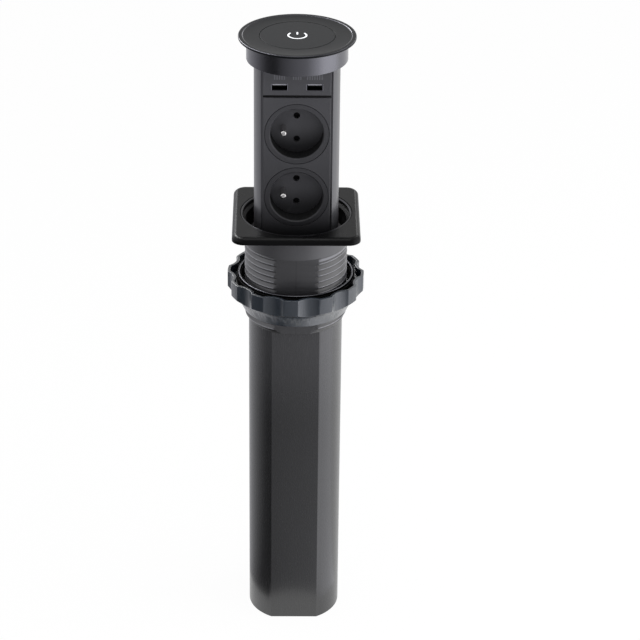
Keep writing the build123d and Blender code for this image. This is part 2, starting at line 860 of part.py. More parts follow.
with BuildPart() as lift_nut:
    with BuildSketch(Plane.XY.offset(nut_flange_bottom)):
        with Locations(screw_axis):
            Circle(lift_nut_flange_radius)
            with PolarLocations(nut_screw_circle, nut_screw_count, start_angle=90):
                Circle(small_shank_radius + bearing_gap, mode=Mode.SUBTRACT)
    extrude(amount=lift_nut_flange_thickness)
    with BuildSketch(Plane.XY.offset(nut_flange_bottom)):
        with Locations(screw_axis):
            Circle(lift_nut_radius)
    extrude(amount=lift_nut_height)
    with BuildSketch(Plane.XY.offset(nut_flange_bottom)):
        with Locations(screw_axis):
            Circle(screw_radius + bearing_gap)
    extrude(amount=lift_nut_height, mode=Mode.SUBTRACT)
save("lift_nut", lift_nut)

nut_screw_plane = Plane(origin=(0, screw_y, nut_flange_bottom), x_dir=(1, 0, 0), z_dir=(0, 0, -1))

with BuildPart() as lift_nut_screws:
    with Locations(nut_screw_plane):
        with PolarLocations(nut_screw_circle, nut_screw_count, start_angle=-90):
            add(cylinder_head_screw(nut_screw_length))
save("lift_nut_screws", lift_nut_screws)

shroud_inner = lift_nut_radius + seat_gap
shroud_top = screw_top + travel + shroud_top_gap

with BuildPart() as screw_shroud:
    with BuildSketch(Plane.XY.offset(tower_bottom)):
        with Locations(screw_axis):
            Circle(shroud_inner + shroud_wall)
    extrude(amount=shroud_top + shroud_cap - tower_bottom)
    with BuildSketch(Plane.XY.offset(tower_bottom)):
        with Locations(screw_axis):
            Circle(shroud_inner)
    extrude(amount=shroud_top - tower_bottom, mode=Mode.SUBTRACT)
save("screw_shroud", screw_shroud)

with BuildPart() as lead_screw:
    with BuildSketch(Plane.XY.offset(coupler_top - coupler_engage)):
        with Locations(screw_axis):
            Circle(screw_radius)
    extrude(amount=screw_top - coupler_top + coupler_engage)
    chamfer(lead_screw.faces().sort_by(Axis.Z)[-1].edges(), length=screw_radius / 4)
    # Shoulder that rests on the bearing's inner race
    with BuildSketch(Plane.XY.offset(block_top)):
        with Locations(screw_axis):
            Circle(screw_shoulder_radius)
    extrude(amount=screw_shoulder_height)
save("lead_screw", lead_screw)

with BuildPart() as screw_coupler:
    with BuildSketch(Plane.XY.offset(coupler_bottom)):
        with Locations(screw_axis):
            Circle(coupler_radius)
    extrude(amount=coupler_height)
    with BuildSketch(Plane.XY.offset(coupler_top)):
        with Locations(screw_axis):
            Circle(screw_radius)
    extrude(amount=-coupler_engage, mode=Mode.SUBTRACT)
    with BuildSketch(Plane.XY.offset(coupler_bottom)):
        with Locations(screw_axis):
            Circle(shaft_radius)
    extrude(amount=coupler_engage, mode=Mode.SUBTRACT)
save("screw_coupler", screw_coupler)

with BuildPart() as gearbox_shaft:
    with BuildSketch(Plane.XY.offset(coupler_bottom + coupler_engage)):
        with Locations(screw_axis):
            Circle(shaft_radius)
    extrude(amount=bracket_bottom - gearbox_boss_height - coupler_bottom - coupler_engage)
save("gearbox_shaft", gearbox_shaft)


# Bearing block and its bearing

with BuildPart() as bearing_block:
    with BuildSketch(Plane.XY.offset(block_bottom)):
        tube_bore(seat_gap)
    extrude(amount=bearing_block_thickness)
    with BuildSketch(Plane.XY.offset(block_top)):
        with Locations(screw_axis):
            Circle(bearing_outer_radius)
    extrude(amount=-bearing_height, mode=Mode.SUBTRACT)
    with BuildSketch(Plane.XY.offset(block_top)):
        with Locations(screw_axis):
            Circle(bearing_outer_radius - bearing_race)
    extrude(amount=-bearing_block_thickness, mode=Mode.SUBTRACT)
    countersinks(back_places(housing_screw_x, block_screw_z, tube_flat), housing_screw_length)
save("bearing_block", bearing_block)

with BuildPart() as screw_bearing:
    with BuildSketch(Plane.XY.offset(block_top - bearing_height)):
        with Locations(screw_axis):
            Circle(bearing_outer_radius)
            Circle(screw_radius + bearing_gap, mode=Mode.SUBTRACT)
    extrude(amount=bearing_height)
    # Sunk shield between the two races
    with BuildSketch(Plane.XY.offset(block_top)):
        with Locations(screw_axis):
            Circle(bearing_outer_radius - bearing_race)
            Circle(screw_radius + bearing_race, mode=Mode.SUBTRACT)
    extrude(amount=-bearing_race / 3, mode=Mode.SUBTRACT)
save("screw_bearing", screw_bearing)


# Motor, gearbox and their bracket

gearbox_screw_places = Plane(origin=(0, screw_y, bracket_top))

with BuildPart() as motor_bracket:
    with BuildSketch(Plane.XY.offset(bracket_bottom)):
        tube_bore(seat_gap)
        with Locations(screw_axis):
            Circle(gearbox_boss_radius + seat_gap, mode=Mode.SUBTRACT)
            with PolarLocations(gearbox_screw_circle, gearbox_screw_count, start_angle=45):
                Circle(small_shank_radius + seat_gap, mode=Mode.SUBTRACT)
    extrude(amount=bracket_thickness)
    countersinks(back_places(housing_screw_x, bracket_screw_z, tube_flat), housing_screw_length)
save("motor_bracket", motor_bracket)

with BuildPart() as gearbox:
    with BuildSketch(Plane.XY.offset(gearbox_bottom)):
        with Locations(screw_axis):
            Circle(gearbox_radius)
    extrude(amount=gearbox_height)
    with BuildSketch(Plane.XY.offset(bracket_bottom)):
        with Locations(screw_axis):
            Circle(gearbox_boss_radius)
    extrude(amount=gearbox_boss_height)
    with BuildSketch(Plane.XY.offset(bracket_bottom + gearbox_boss_height)):
        with Locations(screw_axis):
            Circle(shaft_radius + bearing_gap)
    extrude(amount=-2 * gearbox_boss_height - slide_gap, mode=Mode.SUBTRACT)
    with BuildSketch(Plane.XY.offset(bracket_bottom)):
        with Locations(screw_axis):
            with PolarLocations(gearbox_screw_circle, gearbox_screw_count, start_angle=45):
                Circle(small_shank_radius + bearing_gap)
    extrude(amount=bracket_thickness - gearbox_screw_length, mode=Mode.SUBTRACT)
save("gearbox", gearbox)

with BuildPart() as gearbox_screws:
    with Locations(gearbox_screw_places):
        with PolarLocations(gearbox_screw_circle, gearbox_screw_count, start_angle=45):
            add(cylinder_head_screw(gearbox_screw_length))
save("gearbox_screws", gearbox_screws)

with BuildPart() as motor:
    with BuildSketch(Plane.XY.offset(gearbox_bottom)):
        with Locations(screw_axis):
            Circle(motor_radius)
    extrude(amount=-motor_height)
    fillet(motor.faces().sort_by(Axis.Z)[0].edges(), radius=motor_radius / 8)
    with BuildSketch(Plane.XY.offset(motor_bottom)):
        with Locations(screw_axis):
            Circle(motor_tail_radius)
    extrude(amount=-motor_tail_height)
save("motor", motor)


# Control board with what it carries, and the lower limit switch

board_front = control_board_y - board_thickness / 2

with BuildPart() as control_board:
    with BuildSketch(Plane.XY.offset(bottom_cap_top)):
        with Locations((0, control_board_y)):
            Rectangle(control_board_width, board_thickness)
    extrude(amount=bracket_bottom - bottom_cap_top)
    with BuildSketch(Plane.XY.offset(bottom_cap_top)):
        with Locations((0, grommet_y)):
            Circle(grommet_radius + seat_gap)
    extrude(amount=grommet_rise + seat_gap, mode=Mode.SUBTRACT)
save("control_board", control_board)

with BuildPart() as power_module:
    with BuildSketch(Plane.XY.offset(bracket_bottom - power_module_drop)):
        with Locations((0, board_front - power_module_depth / 2)):
            Rectangle(power_module_width, power_module_depth)
    extrude(amount=-power_module_height)
    fillet(power_module.edges().filter_by(Axis.Z), radius=board_thickness)
save("power_module", power_module)

with BuildPart() as terminal_block:
    terminal_bottom = bottom_cap_top + board_post_height + terminal_rise
    with BuildSketch(Plane.XY.offset(terminal_bottom)):
        with Locations((0, board_front - terminal_depth / 2)):
            Rectangle(terminal_width, terminal_depth)
    extrude(amount=terminal_height)
    with BuildSketch(Plane.XY.offset(terminal_bottom + terminal_height)):
        with Locations((0, board_front - terminal_depth / 2)):
            with GridLocations(terminal_pitch, 0, terminal_ways, 1):
                Circle(terminal_screw_radius)
    extrude(amount=-terminal_height / 2, mode=Mode.SUBTRACT)
save("terminal_block", terminal_block)

with BuildPart() as lower_limit_switch:
    with BuildSketch(Plane.XY.offset(block_top)):
        with Locations(switch_pocket):
            Rectangle(limit_switch_width, limit_switch_depth)
    extrude(amount=shoe_bottom - travel - slide_gap - block_top)
save("lower_limit_switch", lower_limit_switch)


# Front panels

with BuildPart() as socket_fascia:
    with BuildSketch(Plane.XZ.offset(fascia_back)):
        with Locations((0, (panel_split + tower_bottom) / 2)):
            Rectangle(2 * fascia_half_width, panel_split - tower_bottom)
    extrude(amount=fascia_thickness)
    chamfer(socket_fascia.faces().sort_by(Axis.Y)[0].edges(), length=panel_edge_chamfer)
    # Tongue behind the upper panel, so that the seam between the two has a floor
    with BuildSketch(Plane.XZ.offset(fascia_back)):
        with Locations((0, panel_split + panel_tongue_height / 2)):
            Rectangle(2 * fascia_half_width, panel_tongue_height)
    extrude(amount=panel_tongue_thickness)
    with BuildSketch(Plane.XZ.offset(fascia_face)):
        with Locations(*[(0, height) for height in socket_heights.values()]):
            Circle(socket_flange_radius + socket_seam)
    extrude(amount=-fascia_thickness, mode=Mode.SUBTRACT)
save("socket_fascia", socket_fascia)

with BuildPart() as usb_fascia:
    usb_panel_bottom = panel_split + panel_gap
    with BuildSketch(Plane.XZ.offset(fascia_back)):
        with Locations((0, (usb_panel_top + usb_panel_bottom) / 2)):
            Rectangle(2 * fascia_half_width, usb_panel_top - usb_panel_bottom)
    extrude(amount=fascia_thickness)
    chamfer(usb_fascia.faces().sort_by(Axis.Y)[0].edges(), length=panel_edge_chamfer)
    tongue_room = panel_tongue_height - panel_gap + seat_gap
    with BuildSketch(Plane.XZ.offset(fascia_back)):
        with Locations((0, usb_panel_bottom + tongue_room / 2)):
            Rectangle(2 * fascia_half_width, tongue_room)
    extrude(amount=panel_tongue_thickness + seat_gap, mode=Mode.SUBTRACT)
    with BuildSketch(Plane.XZ.offset(fascia_face)):
        with Locations((-usb_x, usb_z), (usb_x, usb_z)):
            RectangleRounded(
                usb_shell_width + 2 * seat_gap, usb_shell_height + 2 * seat_gap, usb_shell_corner + seat_gap
            )
    extrude(amount=-fascia_thickness, mode=Mode.SUBTRACT)
save("usb_fascia", usb_fascia)


# Mains socket inserts, with their pins, contacts and shutters

shutter_slot_depth = shutter_thickness + 2 * shutter_slot_gap
contact_front = socket_block_front + shutter_slot_depth
shutter_slot_left = shutter_left + shutter_slot_gap
shutter_slot_right = shutter_width - shutter_left + shutter_travel + shutter_slot_gap
shutter_slot_middle = (shutter_slot_right - shutter_slot_left) / 2

for level, height in socket_heights.items():
    pin_places = [(0, height + pin_spacing / 2), (0, height - pin_spacing / 2)]
    earth_place = (-earth_pin_offset, height)

    with BuildPart() as insert:
        with BuildSketch(Plane.XZ.offset(fascia_face)):
            with Locations((0, height)):
                Circle(socket_flange_radius)
        extrude(amount=-fascia_thickness)
        chamfer(insert.faces().sort_by(Axis.Y)[0].edges(), length=panel_edge_chamfer)
        with BuildSketch(Plane.XZ.offset(fascia_face - fascia_thickness)):
            with Locations((0, height)):
                Circle(socket_cup_radius)
        extrude(amount=-(socket_well_depth + socket_floor_thickness - fascia_thickness))
        with BuildSketch(Plane.XZ.offset(-socket_block_front)):
            with Locations((0, height)):
                RectangleRounded(socket_block_width, socket_block_height, socket_block_corner)
        extrude(amount=-socket_block_depth)
        # The well, with a lead at its mouth
        with BuildSketch(Plane.XZ.offset(fascia_face)):
            with Locations((0, height)):
                Circle(socket_well_radius)
        extrude(amount=-socket_well_depth, mode=Mode.SUBTRACT)
        mouth = insert.faces().sort_by(Axis.Y)[0].inner_wires()[0].edges()
        chamfer(mouth, length=socket_well_lead)
        # Slot for the shutter, behind the floor and open to the right
        with BuildSketch(Plane.XZ.offset(-socket_block_front)):
            with Locations((shutter_slot_middle, height)):
                Rectangle(
                    shutter_slot_right + shutter_slot_left,
                    shutter_height + 2 * shutter_slot_gap,
                )
        extrude(amount=-shutter_slot_depth, mode=Mode.SUBTRACT)
        with BuildSketch(Plane.XZ.offset(-socket_floor_y)):
            with Locations(*pin_places):
                Circle(pin_hole_radius)
            with Locations(earth_place):
                Circle(earth_shank_radius)
        extrude(amount=-(socket_floor_thickness + socket_block_depth), mode=Mode.SUBTRACT)
        with BuildSketch(Plane.XZ.offset(-contact_front)):
            with Locations(*pin_places):
                Circle(contact_radius + seat_gap)
        extrude(amount=-socket_block_depth, mode=Mode.SUBTRACT)
    save(f"socket_insert_{level}", insert)

    with BuildPart() as earth_pin:
        with BuildSketch(Plane.XZ.offset(-socket_floor_y + earth_pin_reach)):
            with Locations(earth_place):
                Circle(earth_pin_radius)
        extrude(amount=-earth_pin_reach)
        fillet(earth_pin.faces().sort_by(Axis.Y)[0].edges(), radius=earth_pin_tip)
        with BuildSketch(Plane.XZ.offset(-socket_floor_y)):
            with Locations(earth_place):
                Circle(earth_shank_radius)
        extrude(amount=-(socket_floor_thickness + socket_block_depth + earth_tail_length))
    save(f"earth_pin_{level}", earth_pin)

    with BuildPart() as contacts:
        with BuildSketch(Plane.XZ.offset(-contact_front - seat_gap)):
            with Locations(*pin_places):
                Circle(contact_radius)
                Circle(contact_radius - contact_wall, mode=Mode.SUBTRACT)
            with Locations(*[(sign * contact_radius, height + sign * pin_spacing / 2) for sign in (1, -1)]):
                Rectangle(2 * contact_wall + contact_slit, contact_slit, mode=Mode.SUBTRACT)
        extrude(amount=-(socket_block_back - contact_front - seat_gap))
        # Tabs behind the block, towards the bus bars
        with BuildSketch(Plane.XZ.offset(-socket_block_back)):
            for sign in (1, -1):
                with Locations((sign * contact_tab_reach / 2, height + sign * pin_spacing / 2)):
                    Rectangle(contact_tab_reach + 2 * contact_wall, contact_tab_width)
                with Locations((0, height + sign * pin_spacing / 2)):
                    Circle(contact_radius)
        extrude(amount=-contact_tab_thickness)
    save(f"contacts_{level}", contacts)

    with BuildPart() as shutter:
        with BuildSketch(Plane.XZ.offset(-socket_block_front - shutter_slot_gap)):
            with Locations((shutter_width / 2 - shutter_left, height)):
                RectangleRounded(shutter_width, shutter_height, shutter_slot_gap)
        extrude(amount=-shutter_thickness)
    save(f"shutter_{level}", shutter)

with BuildPart() as bus_bars:
    bar_bottom = socket_heights["lower"] - pin_spacing
    bar_top = socket_heights["upper"] + pin_spacing
    bar_front = socket_block_back + contact_tab_thickness
    with BuildSketch(Plane.XZ.offset(-bar_front)):
        with Locations(
            (-bus_bar_x, (bar_top + bar_bottom) / 2),
            (bus_bar_x, (bar_top + bar_bottom) / 2),
        ):
            Rectangle(bus_bar_width, bar_top - bar_bottom)
        with Locations((-earth_bar_x, (bar_top + bar_bottom) / 2)):
            Rectangle(earth_bar_width, bar_top - bar_bottom)
        with Locations(*[(-earth_pin_offset, height) for height in socket_heights.values()]):
            Circle(earth_shank_radius + bearing_gap, mode=Mode.SUBTRACT)
    extrude(amount=-bus_bar_thickness)
save("bus_bars", bus_bars)


# USB ports and their board

for side, name in ((-1, "left"), (1, "right")):
    with BuildPart() as shell:
        with BuildSketch(Plane.XZ.offset(fascia_face - usb_shell_sink)):
            with Locations((side * usb_x, usb_z)):
                RectangleRounded(usb_shell_width, usb_shell_height, usb_shell_corner)
                RectangleRounded(
                    usb_shell_width - 2 * usb_shell_wall,
                    usb_shell_height - 2 * usb_shell_wall,
                    usb_shell_corner - usb_shell_wall,
                    mode=Mode.SUBTRACT,
                )
        extrude(amount=-usb_shell_depth)
    save(f"usb_port_{name}", shell)

    with BuildPart() as tongue:
        with BuildSketch(Plane.XZ.offset(fascia_face - usb_tongue_sink)):
            with Locations((side * usb_x, usb_z + usb_tongue_top - usb_tongue_thickness / 2)):
                Rectangle(usb_tongue_width, usb_tongue_thickness)
        extrude(amount=-(usb_shell_depth + usb_shell_sink - usb_tongue_sink))
    save(f"usb_tongue_{name}", tongue)

with BuildPart() as usb_board:
    with BuildSketch(Plane.XZ.offset(-usb_board_front)):
        with Locations((0, usb_z)):
            Rectangle(usb_board_width, usb_board_height)
    extrude(amount=-board_thickness)
save("usb_board", usb_board)

with BuildPart() as usb_converter:
    with BuildSketch(Plane.XZ.offset(-usb_board_front - board_thickness)):
        with Locations((0, usb_z)):
            Rectangle(usb_converter_width, usb_converter_height)
    extrude(amount=-usb_converter_depth)
    fillet(usb_converter.edges().filter_by(Axis.Y), radius=board_thickness)
save("usb_converter", usb_converter)


# Cap: base with the skirt, disc, button, board and return ring

with BuildPart() as cap_base:
    with BuildSketch(Plane.XY.offset(skirt_bottom)):
        Circle(cap_skirt_radius)
    extrude(amount=cap_skirt_height)
    with BuildSketch(Plane.XY.offset(skirt_bottom + cap_floor)):
        Circle(cap_skirt_radius - cap_skirt_wall)
    extrude(amount=cap_skirt_height - cap_floor, mode=Mode.SUBTRACT)
    # Saddle that sits over the tower's upper end, with the deck on top
    with BuildSketch(Plane.XY.offset(skirt_bottom)):
        tower_outline(cap_saddle_wall)
    extrude(amount=deck_top - skirt_bottom)
    with BuildSketch(Plane.XY.offset(skirt_bottom)):
        tower_outline(seat_gap)
    extrude(amount=tower_top + seat_gap - skirt_bottom, mode=Mode.SUBTRACT)
    with BuildSketch(Plane.XY.offset(deck_top)):
        with Locations(*port_places):
            Circle(small_shank_radius + seat_gap)
    extrude(amount=-cap_deck_thickness, mode=Mode.SUBTRACT)
save("cap_base", cap_base)

with BuildPart() as cap_screws:
    with BuildPart(mode=Mode.PRIVATE) as one_screw:
        Cylinder(small_head_radius, small_head_height, align=(Align.CENTER, Align.CENTER, Align.MIN))
        Cylinder(small_shank_radius, port_screw_length, align=(Align.CENTER, Align.CENTER, Align.MAX))
    with Locations(*[(x, y, deck_top) for x, y in port_places]):
        add(one_screw.part)
save("cap_screws", cap_screws)

with BuildPart() as cap_disc:
    with BuildSketch(Plane.XZ):
        with BuildLine():
            rim_inner = cap_radius - cap_rim_width
            Polyline(
                (button_radius + button_seam, disc_underside),
                (cap_radius - cap_edge_chamfer, disc_underside),
                (cap_radius, disc_underside + cap_edge_chamfer),
                (cap_radius, cap_top - cap_rim_height),
                (cap_radius - cap_rim_height, cap_top),
                (rim_inner + cap_rim_height, cap_top),
                (rim_inner, plate_top),
                (button_radius + button_seam, plate_top),
                close=True,
            )
        make_face()
    revolve(axis=Axis.Z)
    # Ring under the disc that centres it in the skirt
    with BuildSketch(Plane.XY.offset(disc_underside)):
        Circle(cap_skirt_radius - cap_skirt_wall - seat_gap)
        Circle(cap_skirt_radius - cap_skirt_wall - seat_gap - cap_locating_wall, mode=Mode.SUBTRACT)
    extrude(amount=-cap_locating_height)
save("cap_disc", cap_disc)


def symbol(gap=0):
    """Standby mark: a ring open at the far side and a bar; gap widens the strokes."""
    stroke = symbol_stroke + 2 * gap
    half_gap = symbol_gap_angle / 2
    with BuildSketch(mode=Mode.PRIVATE) as opening:
        with BuildLine():
            reach = 2 * symbol_radius
            corner = (reach * sin(radians(half_gap)), reach * cos(radians(half_gap)))
            Polyline((0, 0), corner, (-corner[0], corner[1]), close=True)
        make_face()
    Circle(symbol_radius + stroke / 2)
    Circle(symbol_radius - stroke / 2, mode=Mode.SUBTRACT)
    add(opening.sketch, mode=Mode.SUBTRACT)
    with Locations((0, symbol_bar_start + symbol_bar_length / 2)):
        RectangleRounded(stroke, symbol_bar_length + 2 * gap, stroke / 2 - bearing_gap)


with BuildPart() as power_button:
    with BuildSketch(Plane.XY.offset(plate_top)):
        Circle(button_radius)
    extrude(amount=-button_thickness)
    chamfer(power_button.faces().sort_by(Axis.Z)[-1].edges(), length=button_edge_chamfer)
    with BuildSketch(Plane.XY.offset(button_underside)):
        Circle(button_flange_radius)
    extrude(amount=button_flange_thickness)
    with BuildSketch(Plane.XY.offset(plate_top)):
        symbol()
    extrude(amount=-symbol_depth, mode=Mode.SUBTRACT)
save("power_button", power_button)

with BuildPart() as power_symbol:
    with BuildSketch(Plane.XY.offset(plate_top)):
        symbol()
    extrude(amount=-symbol_depth)
save("power_symbol", power_symbol)

with BuildPart() as return_ring:
    with BuildSketch(Plane.XY.offset(deck_top)):
        Circle(return_ring_radius)
        Circle(return_ring_radius - return_ring_wall, mode=Mode.SUBTRACT)
    extrude(amount=button_underside - deck_top)
save("return_ring", return_ring)

with BuildPart() as button_board:
    with BuildSketch(Plane.XY.offset(deck_top)):
        Circle(button_board_radius)
    extrude(amount=board_thickness)
    # Light sources round the switch
    with BuildSketch(Plane.XY.offset(deck_top + board_thickness)):
        with PolarLocations(led_circle_radius, led_count):
            Rectangle(led_size, led_size)
    extrude(amount=led_height)
save("button_board", button_board)

with BuildPart() as tact_switch:
    with BuildSketch(Plane.XY.offset(deck_top + board_thickness)):
        Rectangle(switch_body, switch_body)
    extrude(amount=switch_body_height)
    with BuildSketch(Plane.XY.offset(deck_top + board_thickness)):
        Circle(switch_plunger_radius)
    extrude(amount=button_underside - button_travel - switch_stop_gap - deck_top - board_thickness)
save("tact_switch", tact_switch)

print("travel", round(travel, 2), "length", round(cap_top - tube_bottom, 2))
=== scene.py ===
# %% [markdown]
# # A pop up desk socket, dressed around its CAD model
#
# The CAD model comes in as loose triangles, one object for each piece of the socket. Blender's
# work here is the looks: rounded edges that catch the light, a real helical thread and a material
# for every piece. Nothing changes size, because the CAD has the last word on that.

import json
from math import asin, cos, degrees, hypot, pi, radians, sin

import bmesh
import bpy
from mathutils import Matrix, Vector

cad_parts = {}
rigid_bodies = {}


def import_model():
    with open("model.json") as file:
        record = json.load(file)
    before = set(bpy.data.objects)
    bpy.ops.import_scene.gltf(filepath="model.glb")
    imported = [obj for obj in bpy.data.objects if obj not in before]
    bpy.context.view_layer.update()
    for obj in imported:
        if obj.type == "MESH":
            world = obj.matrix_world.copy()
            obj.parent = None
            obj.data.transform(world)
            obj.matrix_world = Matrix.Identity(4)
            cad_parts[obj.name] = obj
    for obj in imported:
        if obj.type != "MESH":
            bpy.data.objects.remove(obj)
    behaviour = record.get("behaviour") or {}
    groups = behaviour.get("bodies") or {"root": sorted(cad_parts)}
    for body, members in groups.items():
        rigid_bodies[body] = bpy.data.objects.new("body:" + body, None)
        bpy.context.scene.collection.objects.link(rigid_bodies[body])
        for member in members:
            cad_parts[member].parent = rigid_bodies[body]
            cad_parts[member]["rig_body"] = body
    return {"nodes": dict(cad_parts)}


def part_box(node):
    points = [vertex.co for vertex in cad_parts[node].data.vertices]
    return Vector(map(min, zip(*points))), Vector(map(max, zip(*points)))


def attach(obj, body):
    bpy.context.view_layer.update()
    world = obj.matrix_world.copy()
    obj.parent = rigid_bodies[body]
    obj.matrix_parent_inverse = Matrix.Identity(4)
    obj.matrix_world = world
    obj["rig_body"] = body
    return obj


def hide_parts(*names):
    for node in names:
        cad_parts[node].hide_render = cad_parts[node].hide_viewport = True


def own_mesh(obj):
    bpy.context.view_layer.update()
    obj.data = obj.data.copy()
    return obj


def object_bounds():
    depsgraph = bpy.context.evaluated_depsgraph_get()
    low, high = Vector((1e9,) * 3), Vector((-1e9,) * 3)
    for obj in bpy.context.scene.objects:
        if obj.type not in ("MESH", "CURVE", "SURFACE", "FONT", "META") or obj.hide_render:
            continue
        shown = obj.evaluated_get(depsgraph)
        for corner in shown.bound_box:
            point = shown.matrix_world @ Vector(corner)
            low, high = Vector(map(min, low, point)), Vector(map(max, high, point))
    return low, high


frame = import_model()
nodes = frame["nodes"]
cad_low, cad_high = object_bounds()
print("loaded", len(nodes), "CAD pieces,", round(cad_high[2] - cad_low[2], 4), "m tall")

# %% [markdown]
# ## The camera
#
# The photograph looks down at the socket from the front. Its vanishing lines give a long lens,
# some 2 m away and 27 degrees down. A camera matrix made of three turns says this more plainly
# than three Euler angles: turn about the vertical, tilt down, then roll about the line of sight.

# %% Set up the camera
camera_data = bpy.data.cameras.new("camera")
camera_data.sensor_width = 36.0
camera_data.lens = 143.754
camera = bpy.data.objects.new("camera", camera_data)
bpy.context.scene.collection.objects.link(camera)
bpy.context.scene.camera = camera

yaw, pitch, roll = radians(0.9542), radians(27.4855), radians(0.677)
camera.matrix_world = (
    Matrix.Translation((-0.010362, -1.78180, 0.838784))
    @ Matrix.Rotation(-yaw, 4, "Z")
    @ Matrix.Rotation(pi / 2 - pitch, 4, "X")
    @ Matrix.Rotation(roll, 4, "Z")
)
print("camera looks", round(degrees(pitch), 1), "degrees down")

# %% [markdown]
# ## Sockets that do arithmetic
#
# A procedural material is a sum written with wires. Python can write the sum instead: this class
# wraps one socket and adds a Math node for each sign in an expression. The reflected forms let a
# plain number stand on the left, as in 1 - mask.


# %% A wire that can be added and multiplied
class Wire:
    """The output socket of a shader node, with arithmetic."""

    def __init__(self, finish, socket):
        self.finish = finish
        self.socket = socket

    def math(self, operation, first, second=None, clamp=False):
        inputs = {0: first} if second is None else {0: first, 1: second}
        settings = {"operation": operation, "use_clamp": clamp}
        return self.finish.node("ShaderNodeMath", settings, inputs)

    def __add__(self, other):
        return self.math("ADD", self, other)

    def __radd__(self, other):
        return self.math("ADD", other, self)

    def __sub__(self, other):
        return self.math("SUBTRACT", self, other)

    def __rsub__(self, other):
        return self.math("SUBTRACT", other, self)

    def __mul__(self, other):
        return self.math("MULTIPLY", self, other)

    def __rmul__(self, other):
        return self.math("MULTIPLY", other, self)

    def __truediv__(self, other):
        return self.math("DIVIDE", self, other)

    def __rtruediv__(self, other):
        return self.math("DIVIDE", other, self)

    def __pow__(self, other):
        return self.math("POWER", self, other)

    def clipped(self):
        return self.math("ADD", self, 0.0, clamp=True)

    def root(self):
        return self.math("SQRT", self)

    def angle_to(self, other):
        return self.math("ARCTAN2", self, other)


print("a Wire knows + - * / and **")

# %% [markdown]
# ## One method for every other node
#
# Settings come first, because some of them change which sockets a node has: a Mix node set to
# colours hides its number sockets. Sockets are then looked up by number, by identifier or by name.


# %% A material under construction
class Finish:
    """A new material, or a world. node() adds any node, and paint() closes a material."""

    def __init__(self, name, world=None):
        self.material = world or bpy.data.materials.new(name)
        self.material.use_nodes = True
        self.tree = self.material.node_tree
        self.tree.nodes.clear()

    def socket(self, sockets, key):
        if isinstance(key, int):
            return sockets[key]
        for socket in sockets:
            if socket.identifier == key:
                return socket
        return next(s for s in sockets if s.name == key and s.enabled)

    def node(self, kind, settings=None, inputs=None, output=0):
        made = self.tree.nodes.new(kind)
        for key, value in (settings or {}).items():
            if key == "stops":
                ramp = made.color_ramp
                while len(ramp.elements) < len(value):
                    ramp.elements.new(1.0)
                for element, (place, colour) in zip(ramp.elements, value):
                    element.position = place
                    element.color = (*colour, 1.0)
            else:
                setattr(made, key, value)
        for key, value in (inputs or {}).items():
            target = self.socket(made.inputs, key)
            if isinstance(value, Wire):
                self.tree.links.new(value.socket, target)
            elif isinstance(value, (tuple, list)) and len(value) == 3 and target.type == "RGBA":
                target.default_value = (*value, 1.0)
            else:
                target.default_value = value
        return Wire(self, self.socket(made.outputs, output)) if made.outputs else made

    def paint(
        self, colour, roughness, height=None, bump=0.1, distance=0.0002, shine=0.5, **others
    ):
        """Closes the material with one Principled shader. Others name its other sockets."""
        inputs = {"Base Color": colour, "Roughness": roughness, "Specular IOR Level": shine}
        for key, value in others.items():
            inputs[key.replace("_", " ").title().replace("Ior", "IOR")] = value
        if height is not None:
            normal = self.node(
                "ShaderNodeBump", {}, {"Strength": bump, "Distance": distance, "Height": height}
            )
            inputs["Normal"] = normal
        shader = self.node("ShaderNodeBsdfPrincipled", {}, inputs)
        self.node("ShaderNodeOutputMaterial", {}, {"Surface": shader})
        return self.material


print("a Finish makes any node from its type, its settings and its sockets")

# %% [markdown]
# ## Patterns that most finishes share
#
# Object coordinates are in metres and never slide. Noise on them gives the grain of a moulded
# part. Noise squeezed along one axis gives the fine drawn lines of an extrusion, and noise that
# reads only a point's distance from the axis and its height gives the lines a lathe leaves.


# %% Shared patterns
def place(finish):
    """Object coordinates, in metres."""
    return finish.node("ShaderNodeTexCoord", {}, {}, "Object")


def grain(finish, scale, detail=3.0, roughness=0.55, stretch=(1.0, 1.0, 1.0), vector=None):
    """Noise from 0 to 1, its features about 1/scale metres wide."""
    vector = vector or place(finish)
    mapped = finish.node("ShaderNodeMapping", {}, {"Vector": vector, "Scale": stretch})
    inputs = {"Vector": mapped, "Scale": scale, "Detail": detail, "Roughness": roughness}
    return finish.node("ShaderNodeTexNoise", {}, inputs, "Fac")


def axes(finish):
    """The x, y and z wires of Object coordinates."""
    source = place(finish)
    return [finish.node("ShaderNodeSeparateXYZ", {}, {"Vector": source}, axis) for axis in "XYZ"]


def reach_of(finish, centre=(0.0, 0.0)):
    """The distance from the vertical axis through centre, and the height."""
    x, y, z = axes(finish)
    return ((x - centre[0]) ** 2.0 + (y - centre[1]) ** 2.0).root(), z


def turned(finish, centre=(0.0, 0.0), scale=900.0, detail=4.0):
    """Noise that runs round the vertical axis through centre, as lathe lines do."""
    radius, z = reach_of(finish, centre)
    vector = finish.node("ShaderNodeCombineXYZ", {}, {"X": radius, "Y": z})
    return grain(finish, scale, detail, vector=vector)


def blend(finish, share, first, second):
    """A colour between two, by share from 0 to 1."""
    settings = {"data_type": "RGBA", "clamp_factor": True}
    inputs = {"Factor_Float": share, "A_Color": first, "B_Color": second}
    return finish.node("ShaderNodeMix", settings, inputs, "Result_Color")


def between(finish, wire, low, high):
    """Stretches the part of a wire from low to high over 0 to 1, and clips the rest."""
    settings = {"clamp": True, "interpolation_type": "SMOOTHSTEP"}
    inputs = {"Value": wire, "From Min": low, "From Max": high}
    return finish.node("ShaderNodeMapRange", settings, inputs)


